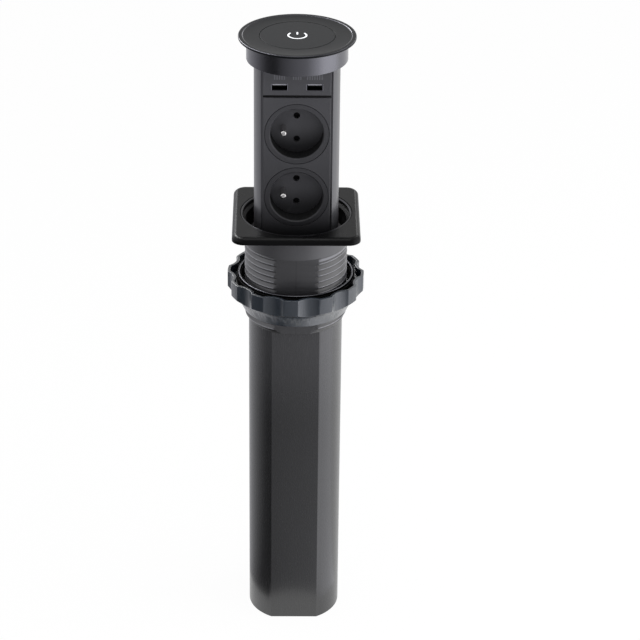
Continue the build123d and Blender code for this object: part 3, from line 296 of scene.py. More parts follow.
def grey(level, warmth=-0.12):
    """A near neutral colour; warmth above 0 leans to red, below 0 to blue."""
    cold = max(-warmth - 0.15, 0.0)
    return (level * (1 + max(warmth, 0.0) - cold), level, level * (1 - warmth))


print("patterns: grain, turned, blend and between")

# %% [markdown]
# ## Moulded plastic
#
# Spark eroded moulds leave a fine matt grain. Up close the grain breaks the highlight, and from
# further off the part looks softly satin. Handling leaves some places a little smoother, so the
# roughness wanders slowly, and the colour with it by a few percent. The specular level is set
# below the usual half, because a grained face scatters much of its reflection.


# %% A factory for moulded plastics
def moulded(
    name, level, rough, grain_size=0.00035, depth=0.12, warmth=-0.12, drift=0.10, shine=0.35
):
    finish = Finish(name)
    fine = grain(finish, 1 / grain_size, 2.0)
    slow = grain(finish, 28.0, 3.0)
    handled = between(finish, grain(finish, 60.0, 4.0, 0.6), 0.45, 0.75)
    colour = blend(
        finish, slow, grey(level * (1 - drift), warmth), grey(level * (1 + drift), warmth)
    )
    roughness = (rough + 0.10 * (fine - 0.5) - 0.06 * handled).clipped()
    return finish.paint(colour, roughness, fine, depth, 0.00006, shine=shine)


collar_finish = moulded("collar plastic", 0.003, 0.32, 0.0004, 0.10, shine=0.12)
lining_finish = moulded("well lining", 0.003, 0.45, 0.0004, 0.10, shine=0.1)
inner_finish = moulded("inner plastic", 0.06, 0.5, 0.0006, 0.15)
slide_finish = moulded("slippery plastic", 0.55, 0.38, 0.0008, 0.08, 0.05)
shutter_finish = moulded("shutter plastic", 0.006, 0.6, 0.0004, 0.10, shine=0.1)
module_finish = moulded("module plastic", 0.03, 0.35, 0.0005, 0.1)
terminal_finish = moulded("terminal plastic", 0.08, 0.42, 0.0005, 0.1)
print("moulded plastics made")

# %% [markdown]
# ## The nut's finish
#
# The ring nut is the glossiest moulding: its mould is polished outside, so that a hand can wipe
# it, and left rough in the channel round the hub, where nobody sees it. A clear coat stands for
# the polish, and its weight falls to nothing inside the channel. The channel is also painted near
# black, as painted shade.


# %% Nut finish
def nut_plastic(name, level):
    finish = Finish(name)
    fine = grain(finish, 2000.0, 2.0)
    slow = grain(finish, 28.0, 3.0)
    radius, z = reach_of(finish)
    beyond_channel = between(finish, radius, 0.0460, 0.0464)
    under_channel = between(finish, z, -0.0560, -0.0570)
    outside = (beyond_channel + under_channel).clipped()
    blue = -0.45
    colour = blend(finish, slow, grey(level * 0.9, blue), grey(level * 1.1, blue))
    # painted shade: inside the channel the colour is painted near black
    colour = blend(finish, outside, grey(0.002), colour)
    return finish.paint(
        colour,
        0.75 - 0.3 * outside,
        fine,
        0.12,
        0.00006,
        shine=0.1,
        coat_weight=outside,
        coat_roughness=0.25,
        coat_ior=1.8,
    )


nut_finish = nut_plastic("nut plastic", 0.034)
print("nut plastic made")

# %% [markdown]
# ## The front panels
#
# The two panels are moulded too. The groove between them is painted dark by depth, as painted
# shade: the further a point lies behind the face plane, the darker it is. The colour also deepens
# a little towards the foot and goes near black at the very foot, as painted shade from the well,
# and the upper port panel is painted a little paler, as painted light. Over the ports the panel
# carries three rows of short raised strokes, which say nothing.

# %% Panels that darken with depth
face_y, port_x = -0.0195, 0.0131


def distance_from(finish, wire, place):
    """How far a coordinate is from a place, without its sign."""
    return finish.node("ShaderNodeMath", {"operation": "ABSOLUTE"}, {0: wire - place})


def raised_strokes(finish, x, z):
    """1 on the strokes over the ports, 0 beside them."""
    row_z, half_height, half_width, step, soft = 0.1243, 0.0019, 0.00042, 0.0018, 0.0002
    row = between(
        finish, distance_from(finish, z, row_z), half_height + soft, half_height - soft
    )
    strokes = 0.0
    for centre, count in ((-port_x, 5), (0.0, 4), (port_x, 7)):
        for k in range(count):
            off = distance_from(finish, x, centre + step * (k - (count - 1) / 2))
            strokes = between(finish, off, half_width + soft, half_width - soft) + strokes
    return (strokes * row).clipped()


def face_colour(finish, level, z):
    """The panels' colour, painted darker towards the foot as painted shade."""
    slow = grain(finish, 28.0, 3.0)
    light = blend(finish, slow, grey(level * 0.92), grey(level * 1.08))
    # painted shade: darker towards the foot, and near black at the very foot
    light = blend(finish, 0.6 * between(finish, z, 0.125, -0.02), light, grey(0.004))
    return blend(finish, between(finish, z, 0.014, -0.010), light, grey(0.002))


def panel_plastic(name, level, marked=False):
    finish = Finish(name)
    x, y, z = axes(finish)
    fine = grain(finish, 3000.0, 2.0)
    # painted shade: the groove behind the face plane is painted near black, by depth
    groove = between(finish, y, face_y + 0.0003, face_y + 0.0012)
    colour = blend(finish, groove, face_colour(finish, level, z), grey(0.003))
    height = fine
    if marked:
        strokes = raised_strokes(finish, x, z)
        colour = blend(finish, strokes, colour, grey(level * 1.9))
        height = fine + 3.0 * strokes
    roughness = (0.44 + 0.10 * (fine - 0.5) + 0.1 * groove).clipped()
    return finish.paint(colour, roughness, height, 0.12, 0.00006, shine=0.35)


fascia_finish = panel_plastic("socket panel", 0.098)
# painted light: the port panel, which stands higher, is painted a little paler than the socket
# panel
usb_fascia_finish = panel_plastic("port panel", 0.108, marked=True)
print("panels made")

# %% [markdown]
# ## The socket wells
#
# A socket's well is deep, and its floor is seen past a dark wall. The wall is painted black, as
# painted shade, and the floor is painted as light as the panel at its top and darker to the
# bottom, as painted shade from the well. Each insert gets its own finish, because the fade is
# measured from its own middle.


# %% Insert finish
def insert_plastic(name, level, middle_z):
    finish = Finish(name)
    y, z = axes(finish)[1:]
    fine = grain(finish, 3000.0, 2.0)
    lip, floor_y = face_y + 0.0004, face_y + 0.0137
    # painted shade: behind the lip the well's wall is painted near black
    inside = between(finish, y, lip, lip + 0.0012)
    floor = between(finish, y, floor_y - 0.0001, floor_y + 0.0001)
    # painted shade: the floor is painted darker towards its bottom
    fade = between(finish, z, middle_z - 0.017, middle_z + 0.004)
    bottom = blend(finish, fade, grey(0.03), grey(0.12))
    colour = blend(finish, inside, face_colour(finish, level, z), grey(0.006))
    colour = blend(finish, floor, colour, bottom)
    roughness = (0.42 + 0.10 * (fine - 0.5) + 0.45 * inside * (1.0 - floor)).clipped()
    return finish.paint(colour, roughness, fine, 0.10, 0.00005, shine=0.3)


upper_socket_z, lower_socket_z = 0.0784, 0.0268
upper_insert_finish = insert_plastic("upper insert", 0.080, upper_socket_z)
lower_insert_finish = insert_plastic("lower insert", 0.080, lower_socket_z)
print("inserts made")

# %% [markdown]
# ## Port tongues
#
# The tongue in each port is black, with a pale upper edge, the only part of it that the light
# reaches.


# %% Tongue finish
def tongue_plastic(name, light_from):
    finish = Finish(name)
    z = axes(finish)[2]
    fine = grain(finish, 2500.0, 2.0)
    lit = between(finish, z, light_from, light_from + 0.0002)
    pale = blend(finish, fine, grey(0.62), grey(0.7))
    colour = blend(finish, lit, grey(0.004), pale)
    return finish.paint(colour, 0.45 + 0.1 * fine, fine, 0.1, 0.00005)


tongue_finish = tongue_plastic("tongue plastic", 0.1175)
print("tongues made")

# %% [markdown]
# ## Extruded surfaces
#
# The long tube and the tower's columns are drawn through a die, which leaves fine lines along
# their length. The columns are aluminium, anodised grey, and the tube is satin plastic. The
# photograph shows the tube paler just under the nut, and the colour is painted paler to follow
# that down its length, as painted light.


# %% A factory for extrusions
def drawn(
    name, level, rough, metallic, line_depth=0.05, warmth=-0.10, shine=0.5, paler_top=None
):
    """paler_top is a height where the painted light begins, one where it is full, and its level.
    """
    finish = Finish(name)
    lines = grain(finish, 2600.0, 3.0, 0.6, stretch=(1.0, 1.0, 0.012))
    bands = grain(finish, 240.0, 2.0, 0.5, stretch=(1.0, 1.0, 0.02))
    slow = grain(finish, 22.0, 3.0)
    colour = blend(
        finish,
        (0.6 * bands + 0.4 * slow).clipped(),
        grey(level * 0.9, warmth),
        grey(level * 1.1, warmth),
    )
    if paler_top:
        begins, full, top_level = paler_top
        z = axes(finish)[2]
        # painted light: the tube's upper part is painted paler
        colour = blend(finish, between(finish, z, begins, full), colour, grey(top_level, warmth))
    roughness = (rough + 0.12 * (lines - 0.5) + 0.05 * (slow - 0.5)).clipped()
    return finish.paint(
        colour, roughness, lines, line_depth, 0.00003, metallic=metallic, shine=shine
    )


tube_top = (-0.172, -0.080, 0.053)
tube_finish = drawn(
    "tube", 0.016, 0.27, 0.0, line_depth=0.015, shine=1.0, paler_top=tube_top
)
column_finish = drawn("tower columns", 0.12, 0.32, 0.55, shine=1.0)
print("extrusions made")

# %% [markdown]
# ## Turned metal
#
# The cap and the thin rings are turned on a lathe, so their lines run round the axis. The skirt
# is polished after turning, which leaves hardly any. All are anodised dark.


# %% A factory for turned pieces
def lathed(
    name, level, rough, metallic, centre=(0.0, 0.0), warmth=-0.10, depth=0.02, shine=0.5
):
    finish = Finish(name)
    lines = turned(finish, centre, 2200.0)
    slow = grain(finish, 30.0, 3.0)
    colour = blend(finish, slow, grey(level * 0.92, warmth), grey(level * 1.08, warmth))
    roughness = (rough + 5.0 * depth * (lines - 0.5) + 0.04 * (slow - 0.5)).clipped()
    return finish.paint(
        colour, roughness, lines, depth, 0.00003, metallic=metallic, shine=shine
    )


skirt_finish = lathed("skirt metal", 0.17, 0.24, 1.0, depth=0.003)
ring_finish = lathed("slip ring", 0.11, 0.24, 1.0)
well_ring_finish = lathed("well ring", 0.035, 0.26, 1.0)
blue_black = -0.3
button_finish = lathed("button face", 0.009, 0.34, 0.0, shine=0.12, warmth=blue_black)
screw_finish = lathed("lead screw steel", 0.5, 0.28, 1.0, (0.0, 0.0175))
bronze_finish = lathed("nut bronze", 0.35, 0.3, 1.0, (0.0, 0.0175), 0.35)
print("turned metals made")

# %% [markdown]
# ## The cap's finish
#
# The cap is black anodised, and its rim is then cut once more with a diamond tool: the bevel
# inside the rim and the shoulder outside it are bare, smooth metal under a thin dark stain. The
# distance from the axis tells where the tool went.


# %% Cap finish with a cut rim
def cap_metal(name, level):
    finish = Finish(name)
    lines = turned(finish, scale=2200.0)
    slow = grain(finish, 30.0, 3.0)
    radius, z = reach_of(finish)
    bevel = between(finish, radius, 0.0404, 0.0405) * between(finish, radius, 0.0413, 0.0412)
    shoulder = between(finish, radius, 0.0436, 0.0437) * between(finish, z, 0.1499, 0.1500)
    bare = (bevel + shoulder).clipped()
    dark, light = grey(level * 0.92, blue_black), grey(level * 1.08, blue_black)
    colour = blend(finish, slow, dark, light)
    colour = blend(finish, bare, colour, grey(0.06))
    roughness = (0.32 + 0.10 * (lines - 0.5) - 0.08 * bare).clipped()
    return finish.paint(colour, roughness, lines, 0.02, 0.00003, shine=0.12, metallic=bare)


cap_finish = cap_metal("cap metal", 0.007)
print("cap metal made")

# %% [markdown]
# ## The threaded sleeve's finish
#
# The sleeve is moulded in halves, so a fine parting line runs down the middle of each flat, and
# the mould's polish lines run round it. The crests of the thread are painted paler, as a painted
# highlight, and the grooves off the flats are painted near black, as painted shade. All are read
# from Object coordinates.


# %% Sleeve finish with a parting line
def sleeve_plastic(name, level):
    finish = Finish(name)
    x, y = axes(finish)[:2]
    radius, z = reach_of(finish)
    threaded = between(finish, z, -0.0178, -0.0184)
    # painted highlight: the thread's crests are painted paler
    crest = threaded * between(finish, radius, 0.03935, 0.0396)
    # painted shade: the thread's grooves off the flats are painted near black
    groove = threaded * between(finish, radius, 0.0387, 0.0384)
    groove = groove * between(finish, distance_from(finish, y, 0.0), 0.0354, 0.0353)
    fine = grain(finish, 2200.0, 2.0)
    polish = turned(finish, (0.0, 0.0), 1200.0)
    slow = grain(finish, 28.0, 3.0)
    seam = threaded * between(finish, distance_from(finish, x, 0.0), 0.0003, 0.0001)
    colour = blend(finish, slow, grey(level * 0.92), grey(level * 1.08))
    colour = blend(finish, 0.8 * seam, colour, grey(level * 0.2))
    colour = blend(finish, crest, colour, grey(0.27))
    colour = blend(finish, groove, colour, grey(0.004))
    roughness = (0.36 + 0.08 * (fine - 0.5) + 0.08 * (polish - 0.5) - 0.1 * crest).clipped()
    return finish.paint(
        colour, roughness, fine + 0.6 * polish - 2.0 * seam, 0.12, 0.00005, shine=1.0
    )


sleeve_finish = sleeve_plastic("sleeve plastic", 0.046)
# painted light: the band is the sleeve's plastic painted paler
band_painted_paler_finish = sleeve_plastic("sleeve band painted paler", 0.080)
print("sleeve plastic made")

# %% [markdown]
# ## Plated and punched metal
#
# Earth pins, port shells, screws and motor cans are plated. Plating is smooth, so what shows is
# fine scuffs, drawn out along one axis by the sliding of plugs, and a slow change of tint.


# %% A factory for plated metal
def plated(name, level, rough, warmth=0.02):
    finish = Finish(name)
    scuffs = grain(finish, 1500.0, 4.0, 0.7, stretch=(1.0, 0.15, 1.0))
    slow = grain(finish, 180.0, 2.0)
    colour = blend(finish, slow, grey(level * 0.9, warmth), grey(level, warmth))
    roughness = (rough + 0.18 * (scuffs - 0.5)).clipped()
    return finish.paint(colour, roughness, scuffs, 0.06, 0.00002, metallic=1.0)


pin_finish = plated("plated pin", 0.78, 0.22)
can_finish = plated("motor can", 0.45, 0.3, 0.0)
steel_finish = plated("zinc screws", 0.5, 0.32, 0.0)
bar_finish = plated("bus bar", 0.5, 0.34, 0.3)
print("plated metals made")

# %% [markdown]
# ## Port shells
#
# A port's shell is bright only at its folded front edge, and most at the two ends, where plugs
# rub it. Further in it is painted dark, as painted shade, since next to no light gets there.


# %% Shell finish
def shell_metal(name):
    finish = Finish(name)
    x, y = axes(finish)[:2]
    scuffs = grain(finish, 1500.0, 4.0, 0.7, stretch=(1.0, 0.15, 1.0))
    # 1 at the rubbed front edge; further in the shell is painted dark, as painted shade
    rubbed_front_and_shade = between(finish, y, face_y + 0.0012, face_y + 0.0006)
    off_middle = distance_from(finish, distance_from(finish, x, 0.0), port_x)
    ends = between(finish, off_middle, 0.0055, 0.0060)
    edge = blend(finish, ends, grey(0.14), grey(0.60))
    colour = blend(finish, rubbed_front_and_shade, grey(0.08), edge)
    roughness = (0.3 + 0.18 * (scuffs - 0.5)).clipped()
    return finish.paint(colour, roughness, scuffs, 0.06, 0.00002, metallic=1.0)


shell_finish = shell_metal("port shell")
print("port shells made")

# %% [markdown]
# ## Board, rubber and light
#
# The boards are glass laminate under green lacquer, with paler lines where copper lies under it.
# The rubber is matt and carries a faint bloom. The standby mark is a diffuser that glows.


# %% Board, rubber and lit mark
def laminate(name):
    finish = Finish(name)
    weave = grain(finish, 1600.0, 2.0)
    cells = {"Vector": place(finish), "Scale": 420.0}
    islands = finish.node("ShaderNodeTexVoronoi", {"feature": "DISTANCE_TO_EDGE"}, cells)
    tracks = between(finish, islands, 0.0, 0.08)
    colour = blend(finish, tracks, (0.03, 0.16, 0.07), (0.012, 0.075, 0.035))
    return finish.paint(colour, 0.34 + 0.1 * weave, weave, 0.1, 0.00004)


def soft_rubber(name):
    finish = Finish(name)
    bloom = grain(finish, 90.0, 4.0, 0.6)
    fine = grain(finish, 2400.0, 2.0)
    colour = blend(finish, bloom, grey(0.016), grey(0.03))
    return finish.paint(colour, 0.62 + 0.12 * bloom, fine, 0.2, 0.00005)


def lit_symbol(name):
    finish = Finish(name)
    cloud = grain(finish, 700.0, 2.0)
    colour = blend(finish, cloud, (0.86, 0.9, 0.95), (1.0, 1.0, 1.0))
    return finish.paint(
        colour, 0.4 + 0.1 * cloud, emission_color=colour, emission_strength=0.8
    )


board_finish = laminate("circuit board")
rubber_finish = soft_rubber("rubber")
light_finish = lit_symbol("lit symbol")
print("board, rubber and light made")

# %% [markdown]
# ## Every CAD piece gets a finish
#
# The table goes from finish to pieces, so that like parts are sure to match. The pieces inside
# the tower get theirs too, because other poses and the open ends can show them.

# %% Give every CAD piece its finish
finish_of = {
    collar_finish: ["collar_plate"],
    sleeve_finish: ["threaded_sleeve"],
    nut_finish: ["ring_nut"],
    tube_finish: ["lower_tube", "bottom_cap"],
    ring_finish: ["slip_ring"],
    well_ring_finish: ["well_ring"],
    column_finish: ["tower_profile"],
    skirt_finish: ["cap_base"],
    cap_finish: ["cap_disc"],
    button_finish: ["power_button"],
    light_finish: ["power_symbol"],
    fascia_finish: ["socket_fascia"],
    usb_fascia_finish: ["usb_fascia"],
    upper_insert_finish: ["socket_insert_upper"],
    lower_insert_finish: ["socket_insert_lower"],
    pin_finish: ["earth_pin_upper", "earth_pin_lower", "contacts_upper", "contacts_lower"],
    bar_finish: ["bus_bars"],
    shell_finish: ["usb_port_left", "usb_port_right"],
    can_finish: ["gearbox", "motor", "screw_bearing"],
    tongue_finish: ["usb_tongue_left", "usb_tongue_right"],
    inner_finish: [
        "tower_base",
        "guide_ring",
        "screw_shroud",
        "bearing_block",
        "motor_bracket",
    ],
    slide_finish: ["guide_shoe"],
    shutter_finish: ["shutter_upper", "shutter_lower"],
    bronze_finish: ["lift_nut"],
    steel_finish: [
        "collar_screws",
        "sleeve_screws",
        "housing_screws",
        "base_screws",
        "cap_screws",
        "gearbox_screws",
        "lift_nut_screws",
    ],
    screw_finish: ["lead_screw", "screw_coupler", "gearbox_shaft"],
    board_finish: ["usb_board", "button_board", "control_board"],
    module_finish: [
        "usb_converter",
        "power_module",
        "upper_limit_switch",
        "lower_limit_switch",
        "tact_switch",
    ],
    terminal_finish: ["terminal_block"],
    rubber_finish: ["wiper_seal", "return_ring", "cable_grommet"],
}
for finish, names in finish_of.items():
    for name in names:
        slots = nodes[name].data.materials
        slots.clear()
        slots.append(finish)
bare = [name for name, node in nodes.items() if not node.data.materials]
print("pieces with no finish:", bare)

# %% [markdown]
# ## Softened edges
#
# A CAD edge is perfectly sharp, and no real one is: the narrow rounding along it is what catches
# the light. A merged copy of each visible CAD piece gets a fine bevel, and stands in for it. The
# collar's outer edges are rounded already and the lip of its well is machined sharp, so the
# collar and the ring in its well are only made smooth.


# %% Copy a CAD piece with soft edges
def merged(name):
    """The CAD piece as one connected mesh, its flat faces whole."""
    shape = bmesh.new()
    shape.from_mesh(nodes[name].data)
    bmesh.ops.remove_doubles(shape, verts=shape.verts, dist=0.000002)
    bmesh.ops.dissolve_limit(
        shape, angle_limit=radians(0.6), verts=shape.verts, edges=shape.edges
    )
    return shape


def dressed(shape, label, stands_for, width, angle=32.0, even=False):
    """Makes an object of a mesh, smooth but for its sharp edges, which get a bevel.

    Without a bevel, even=True keeps large flat faces flat beside small curved ones.
    """
    source = nodes[stands_for]
    mesh = bpy.data.meshes.new(label)
    shape.to_mesh(mesh)
    shape.free()
    mesh.materials.append(source.data.materials[0])
    piece = bpy.data.objects.new(label, mesh)
    bpy.context.scene.collection.objects.link(piece)
    for polygon in mesh.polygons:
        polygon.use_smooth = True
    mesh.set_sharp_from_angle(angle=radians(angle))
    if width:
        bevel = piece.modifiers.new("soft edges", "BEVEL")
        bevel.width = width
        bevel.segments = 2
        bevel.limit_method = "ANGLE"
        bevel.angle_limit = radians(angle)
        bevel.harden_normals = True
    elif even:
        shading = piece.modifiers.new("even shading", "WEIGHTED_NORMAL")
        shading.keep_sharp = True
    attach(piece, source["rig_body"])
    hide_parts(stands_for)
    return piece


soft_edges = [
    ("socket_fascia", "fascia_plastic", 0.00018),
    ("usb_fascia", "fascia_plastic", 0.00018),
    ("tower_profile", "tower_metal", 0.00025),
    ("collar_plate", "collar_plastic", 0),
    ("well_ring", "ring_metal", 0),
    ("ring_nut", "sleeve_plastic", 0.0004),
    ("slip_ring", "ring_metal", 0.0001),
    ("lower_tube", "tube_plastic", 0.0003),
    ("bottom_cap", "tube_plastic", 0.0002),
    ("cap_base", "cap_metal", 0.0002),
    ("power_button", "button_plastic", 0.00008),
]
for name, slot, width in soft_edges:
    dressed(merged(name), name + "_soft", name, width, even=True)
print("softened", len(soft_edges), "pieces")

# %% [markdown]
# ## The inserts' seams
#
# Each round insert sits in the panel with a seam round it, which shows as a dark line. The copy's
# flange is drawn in by a fraction of a millimetre, as its draft would do, so that the line reads.


# %% Inserts with a seam
def seamed(name, middle_z, drawn_in=0.00022):
    low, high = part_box(name)
    flange_r = (high[0] - low[0]) / 2
    shape = merged(name)
    for vert in shape.verts:
        reach = hypot(vert.co.x, vert.co.z - middle_z)
        if reach > flange_r - 0.0001:
            share = (flange_r - drawn_in) / reach
            vert.co.x *= share
            vert.co.z = middle_z + share * (vert.co.z - middle_z)
    return dressed(shape, name + "_soft", name, 0.0003)


seamed("socket_insert_upper", upper_socket_z)
seamed("socket_insert_lower", lower_socket_z)
print("two inserts with their seams")

# %% [markdown]
# ## The cap's disc
#
# The disc is turned from one plate, so it is one profile spun round the axis: a thin outer edge
# with a rounded shoulder, a narrow raised rim, and a bevel down to the face. That bevel looks in
# and up, and it draws the bright line along the rim's far side.


# %% Spin the cap's disc
def spun(profile, steps=192):
    """A closed mesh from a profile of (radius, height), spun round the vertical axis."""
    shape = bmesh.new()
    line = [shape.verts.new((radius, 0.0, z)) for radius, z in profile]
    edges = [shape.edges.new(pair) for pair in zip(line, line[1:] + line[:1])]
    bmesh.ops.spin(
        shape,
        geom=line + edges,
        cent=(0, 0, 0),
        axis=(0, 0, 1),
        angle=2 * pi,
        steps=steps,
        use_merge=True,
    )
    bmesh.ops.remove_doubles(shape, verts=shape.verts, dist=0.000001)
    bmesh.ops.recalc_face_normals(shape, faces=shape.faces)
    return shape


def arc(centre, radius, first, last, steps=6):
    """Points on an arc in the profile's plane, angles in degrees from the outward axis."""
    turns = [radians(first + (last - first) * k / steps) for k in range(steps + 1)]
    return [(centre[0] + radius * cos(t), centre[1] + radius * sin(t)) for t in turns]


hole_r, ring_inner_r, ring_outer_r, disc_r = 0.02835, 0.03475, 0.03615, 0.0442
ring_low, disc_low, plate_top, rim_top = 0.1458, 0.1484, 0.1501, 0.1505
disc_profile = [
    (hole_r, disc_low),
    (ring_inner_r, disc_low),
    (ring_inner_r, ring_low),
    (ring_outer_r, ring_low),
    (ring_outer_r, disc_low),
    *arc((disc_r - 0.0008, disc_low + 0.0008), 0.0008, -90, 0),
    *arc((disc_r - 0.0007, rim_top - 0.0007), 0.0007, 0, 90),
    *arc((0.0414, rim_top - 0.0005), 0.0005, 90, 135, 3),
    (0.0405, plate_top + 0.00004),
    (0.0403, plate_top),
    (hole_r + 0.0002, plate_top),
    (hole_r, plate_top - 0.0002),
]
dressed(spun(disc_profile), "cap_disc_turned", "cap_disc", 0)
print("disc of", 2000 * disc_r, "mm with", len(disc_profile), "points in its profile")

# %% [markdown]
# ## A real thread
#
# The CAD sleeve has a separate tilted groove for each half turn. Here one profile, a narrow groove
# and a rib whose long upper side leans back like a buttress, is spun round the axis while it
# climbs one pitch. That makes one turn of a true helix, and copies of it stack into the thread.
# The last half turn at the right runs out into the plain band. Then the two flats are cut and
# closed, with the seats of the two screws in the rear one, and a bore with the tube's own outline
# is let into the ends.

# %% Helical thread with flats and bore
def cut(shape, place, normal, clear=True):
    """Cuts by a plane, drops what lies beyond it, and returns the open edges."""
    everything = shape.verts[:] + shape.edges[:] + shape.faces[:]
    bmesh.ops.bisect_plane(
        shape, geom=everything, plane_co=place, plane_no=normal, clear_outer=clear
    )
    return [edge for edge in shape.edges if edge.is_boundary]


def ring_of(shape, points):
    """A closed ring of new edges."""
    ring = [shape.verts.new(point) for point in points]
    return [shape.edges.new(pair) for pair in zip(ring, ring[1:] + ring[:1])]


def flatted_circle(radius, flat, z, steps=48):
    """Points round a circle with a flat at front and back."""
    half = asin(flat / radius)
    turns = [
        start + 2 * half * k / steps for start in (-half, pi - half) for k in range(steps + 1)
    ]
    return [(radius * cos(t), radius * sin(t), z) for t in turns]


sleeve_r, sleeve_flat, pitch, groove_depth = 0.0397, 0.0355, 0.005, 0.0013
flat_top, taper_top, sleeve_foot, end_inset = -0.0172, -0.078, -0.082, 0.0026
bore_r, bore_flat = 0.0366, 0.0316
thread_start, thread_turns, plain_foot = -0.0881, 15, -0.0198
seat_x, seat_z, seat_r, seat_depth = 0.012, -0.0228, 0.003, 0.0017


def thread_turns_mesh(steps=96):
    crest = [
        (sleeve_r - groove_depth, 0.0),
        (sleeve_r - groove_depth, 0.0005),
        (sleeve_r - 0.00035, 0.00115),
        (sleeve_r - 0.0001, 0.00135),
        (sleeve_r, 0.0016),
        (sleeve_r, 0.0018),
        (sleeve_r - 0.00008, 0.0020),
        (sleeve_r - 0.0004, 0.00235),
        (sleeve_r - 0.0005, 0.00255),
        (sleeve_r - 0.0011, 0.0046),
        (sleeve_r - groove_depth, pitch),
    ]
    shape = bmesh.new()
    line = [shape.verts.new((reach, 0.0, thread_start + z)) for reach, z in crest]
    edges = [shape.edges.new(pair) for pair in zip(line, line[1:])]
    bmesh.ops.spin(
        shape,
        geom=line + edges,
        cent=(0, 0, 0),
        axis=(0, 0, 1),
        dvec=(0, 0, pitch / steps),
        angle=2 * pi,
        steps=steps,
    )
    one_turn = shape.verts[:] + shape.edges[:] + shape.faces[:]
    for turn in range(1, thread_turns):
        copy = bmesh.ops.duplicate(shape, geom=one_turn)["geom"]
        verts = [item for item in copy if isinstance(item, bmesh.types.BMVert)]
        bmesh.ops.translate(shape, vec=(0, 0, pitch * turn), verts=verts)
    bmesh.ops.remove_doubles(shape, verts=shape.verts, dist=0.000002)
    return shape


def seated(shape, ring):
    """Sinks a screw's conical seat from a ring of edges in the rear flat."""
    grown = bmesh.ops.extrude_edge_only(shape, edges=ring)["geom"]
    verts = [item for item in grown if isinstance(item, bmesh.types.BMVert)]
    middle = sum((vert.co for vert in verts), Vector()) / len(verts)
    for vert in verts:
        vert.co = middle + 0.52 * (vert.co - middle) - Vector((0, seat_depth, 0))
    floor_ring = [e for e in grown if isinstance(e, bmesh.types.BMEdge) and e.is_boundary]
    bmesh.ops.holes_fill(shape, edges=floor_ring, sides=0)


def threaded_part():
    shape = thread_turns_mesh()
    cut(shape, (0, 0, flat_top), (0, 0, 1))
    cut(shape, (0, 0, sleeve_foot), (0, 0, -1))
    cut(shape, (0, 0, taper_top), (0, 0, -1), clear=False)
    for vert in shape.verts:
        reach = hypot(vert.co.x, vert.co.y)
        wanted = reach
        if vert.co.z > plain_foot and vert.co.x > 0:
            wanted = sleeve_r
        if vert.co.z < taper_top:
            share = (taper_top - vert.co.z) / (taper_top - sleeve_foot)
            wanted = min(reach, sleeve_r - end_inset * share)
        vert.co.x *= wanted / reach
        vert.co.y *= wanted / reach
    rim = [edge for edge in shape.edges if edge.is_boundary]
    bmesh.ops.holes_fill(shape, edges=rim, sides=0)
    for side in (-1, 1):
        rim = cut(shape, (0, side * sleeve_flat, 0), (0, side, 0))
        seats = []
        if side > 0:
            for x in (-seat_x, seat_x):
                turns = [2 * pi * k / 24 for k in range(24)]
                points = [
                    (x + seat_r * cos(t), sleeve_flat, seat_z + seat_r * sin(t)) for t in turns
                ]
                seats.append(ring_of(shape, points))
        edges = rim + [edge for seat in seats for edge in seat]
        bmesh.ops.triangle_fill(shape, edges=edges, use_beauty=True)
        for seat in seats:
            seated(shape, seat)
    ends = [
        face
        for face in shape.faces
        if abs(face.normal.z) > 0.999
        and min(abs(face.calc_center_median().z - z) for z in (flat_top, sleeve_foot)) < 0.000001
    ]
    bmesh.ops.delete(shape, geom=ends, context="FACES_ONLY")
    rim = [edge for edge in shape.edges if edge.is_boundary]
    bores = []
    for z in (flat_top, sleeve_foot):
        outer = [edge for edge in rim if abs(edge.verts[0].co.z - z) < 0.000001]
        bores.append(ring_of(shape, flatted_circle(bore_r, bore_flat, z)))
        bmesh.ops.triangle_fill(shape, edges=outer + bores[-1], use_beauty=True)
    bmesh.ops.bridge_loops(shape, edges=bores[0] + bores[1])
    bmesh.ops.recalc_face_normals(shape, faces=shape.faces)
    return shape


thread = threaded_part()
open_edges = sum(not edge.is_manifold for edge in thread.edges)
print("thread:", len(thread.faces), "faces,", open_edges, "open edges")
dressed(thread, "sleeve_thread", "threaded_sleeve", 0, angle=40.0)

# %% [markdown]
# ## The sleeve's head
#
# Above the flats comes a plain round band, spun so that its shading is perfectly even, with the
# lining of the well inside it. The flange and its four ears are right as the CAD has them: a
# merged copy is cut just above the band, and its open ring is closed again. Flange and lining
# sit inside the collar and keep the mould's dark grained skin, which nobody polishes.

# %% Band, lining and flange
well_r, well_floor, lining_r, flange_low = 0.0386, -0.0126, 0.0391, 0.00002
band_profile = [(lining_r, 0.0), (sleeve_r, 0.0), (sleeve_r, flat_top), (lining_r, flat_top)]
lining_profile = [
    (well_r, 0.0),
    (lining_r, 0.0),
    (lining_r, flat_top),
    (bore_r, flat_top),
    (bore_r, well_floor),
    (well_r, well_floor),
]
band = dressed(spun(band_profile), "sleeve_band", "threaded_sleeve", 0)
# the band takes the sleeve's plastic painted paler, as painted light
band.data.materials[0] = band_painted_paler_finish
lining = dressed(spun(lining_profile), "well_lining", "threaded_sleeve", 0)
lining.data.materials[0] = lining_finish
head = merged("threaded_sleeve")
head_rim = cut(head, (0, 0, flange_low), (0, 0, -1))
bmesh.ops.triangle_fill(head, edges=head_rim, use_beauty=True)
bmesh.ops.recalc_face_normals(head, faces=head.faces)
print("head:", len(head.faces), "faces,", sum(not e.is_manifold for e in head.edges), "open edges")
flange = dressed(head, "sleeve_head", "threaded_sleeve", 0.0001)
flange.data.materials[0] = lining_finish

# %% [markdown]
# ## The button's return ring
#
# Under the button a soft ring pushes it back up.

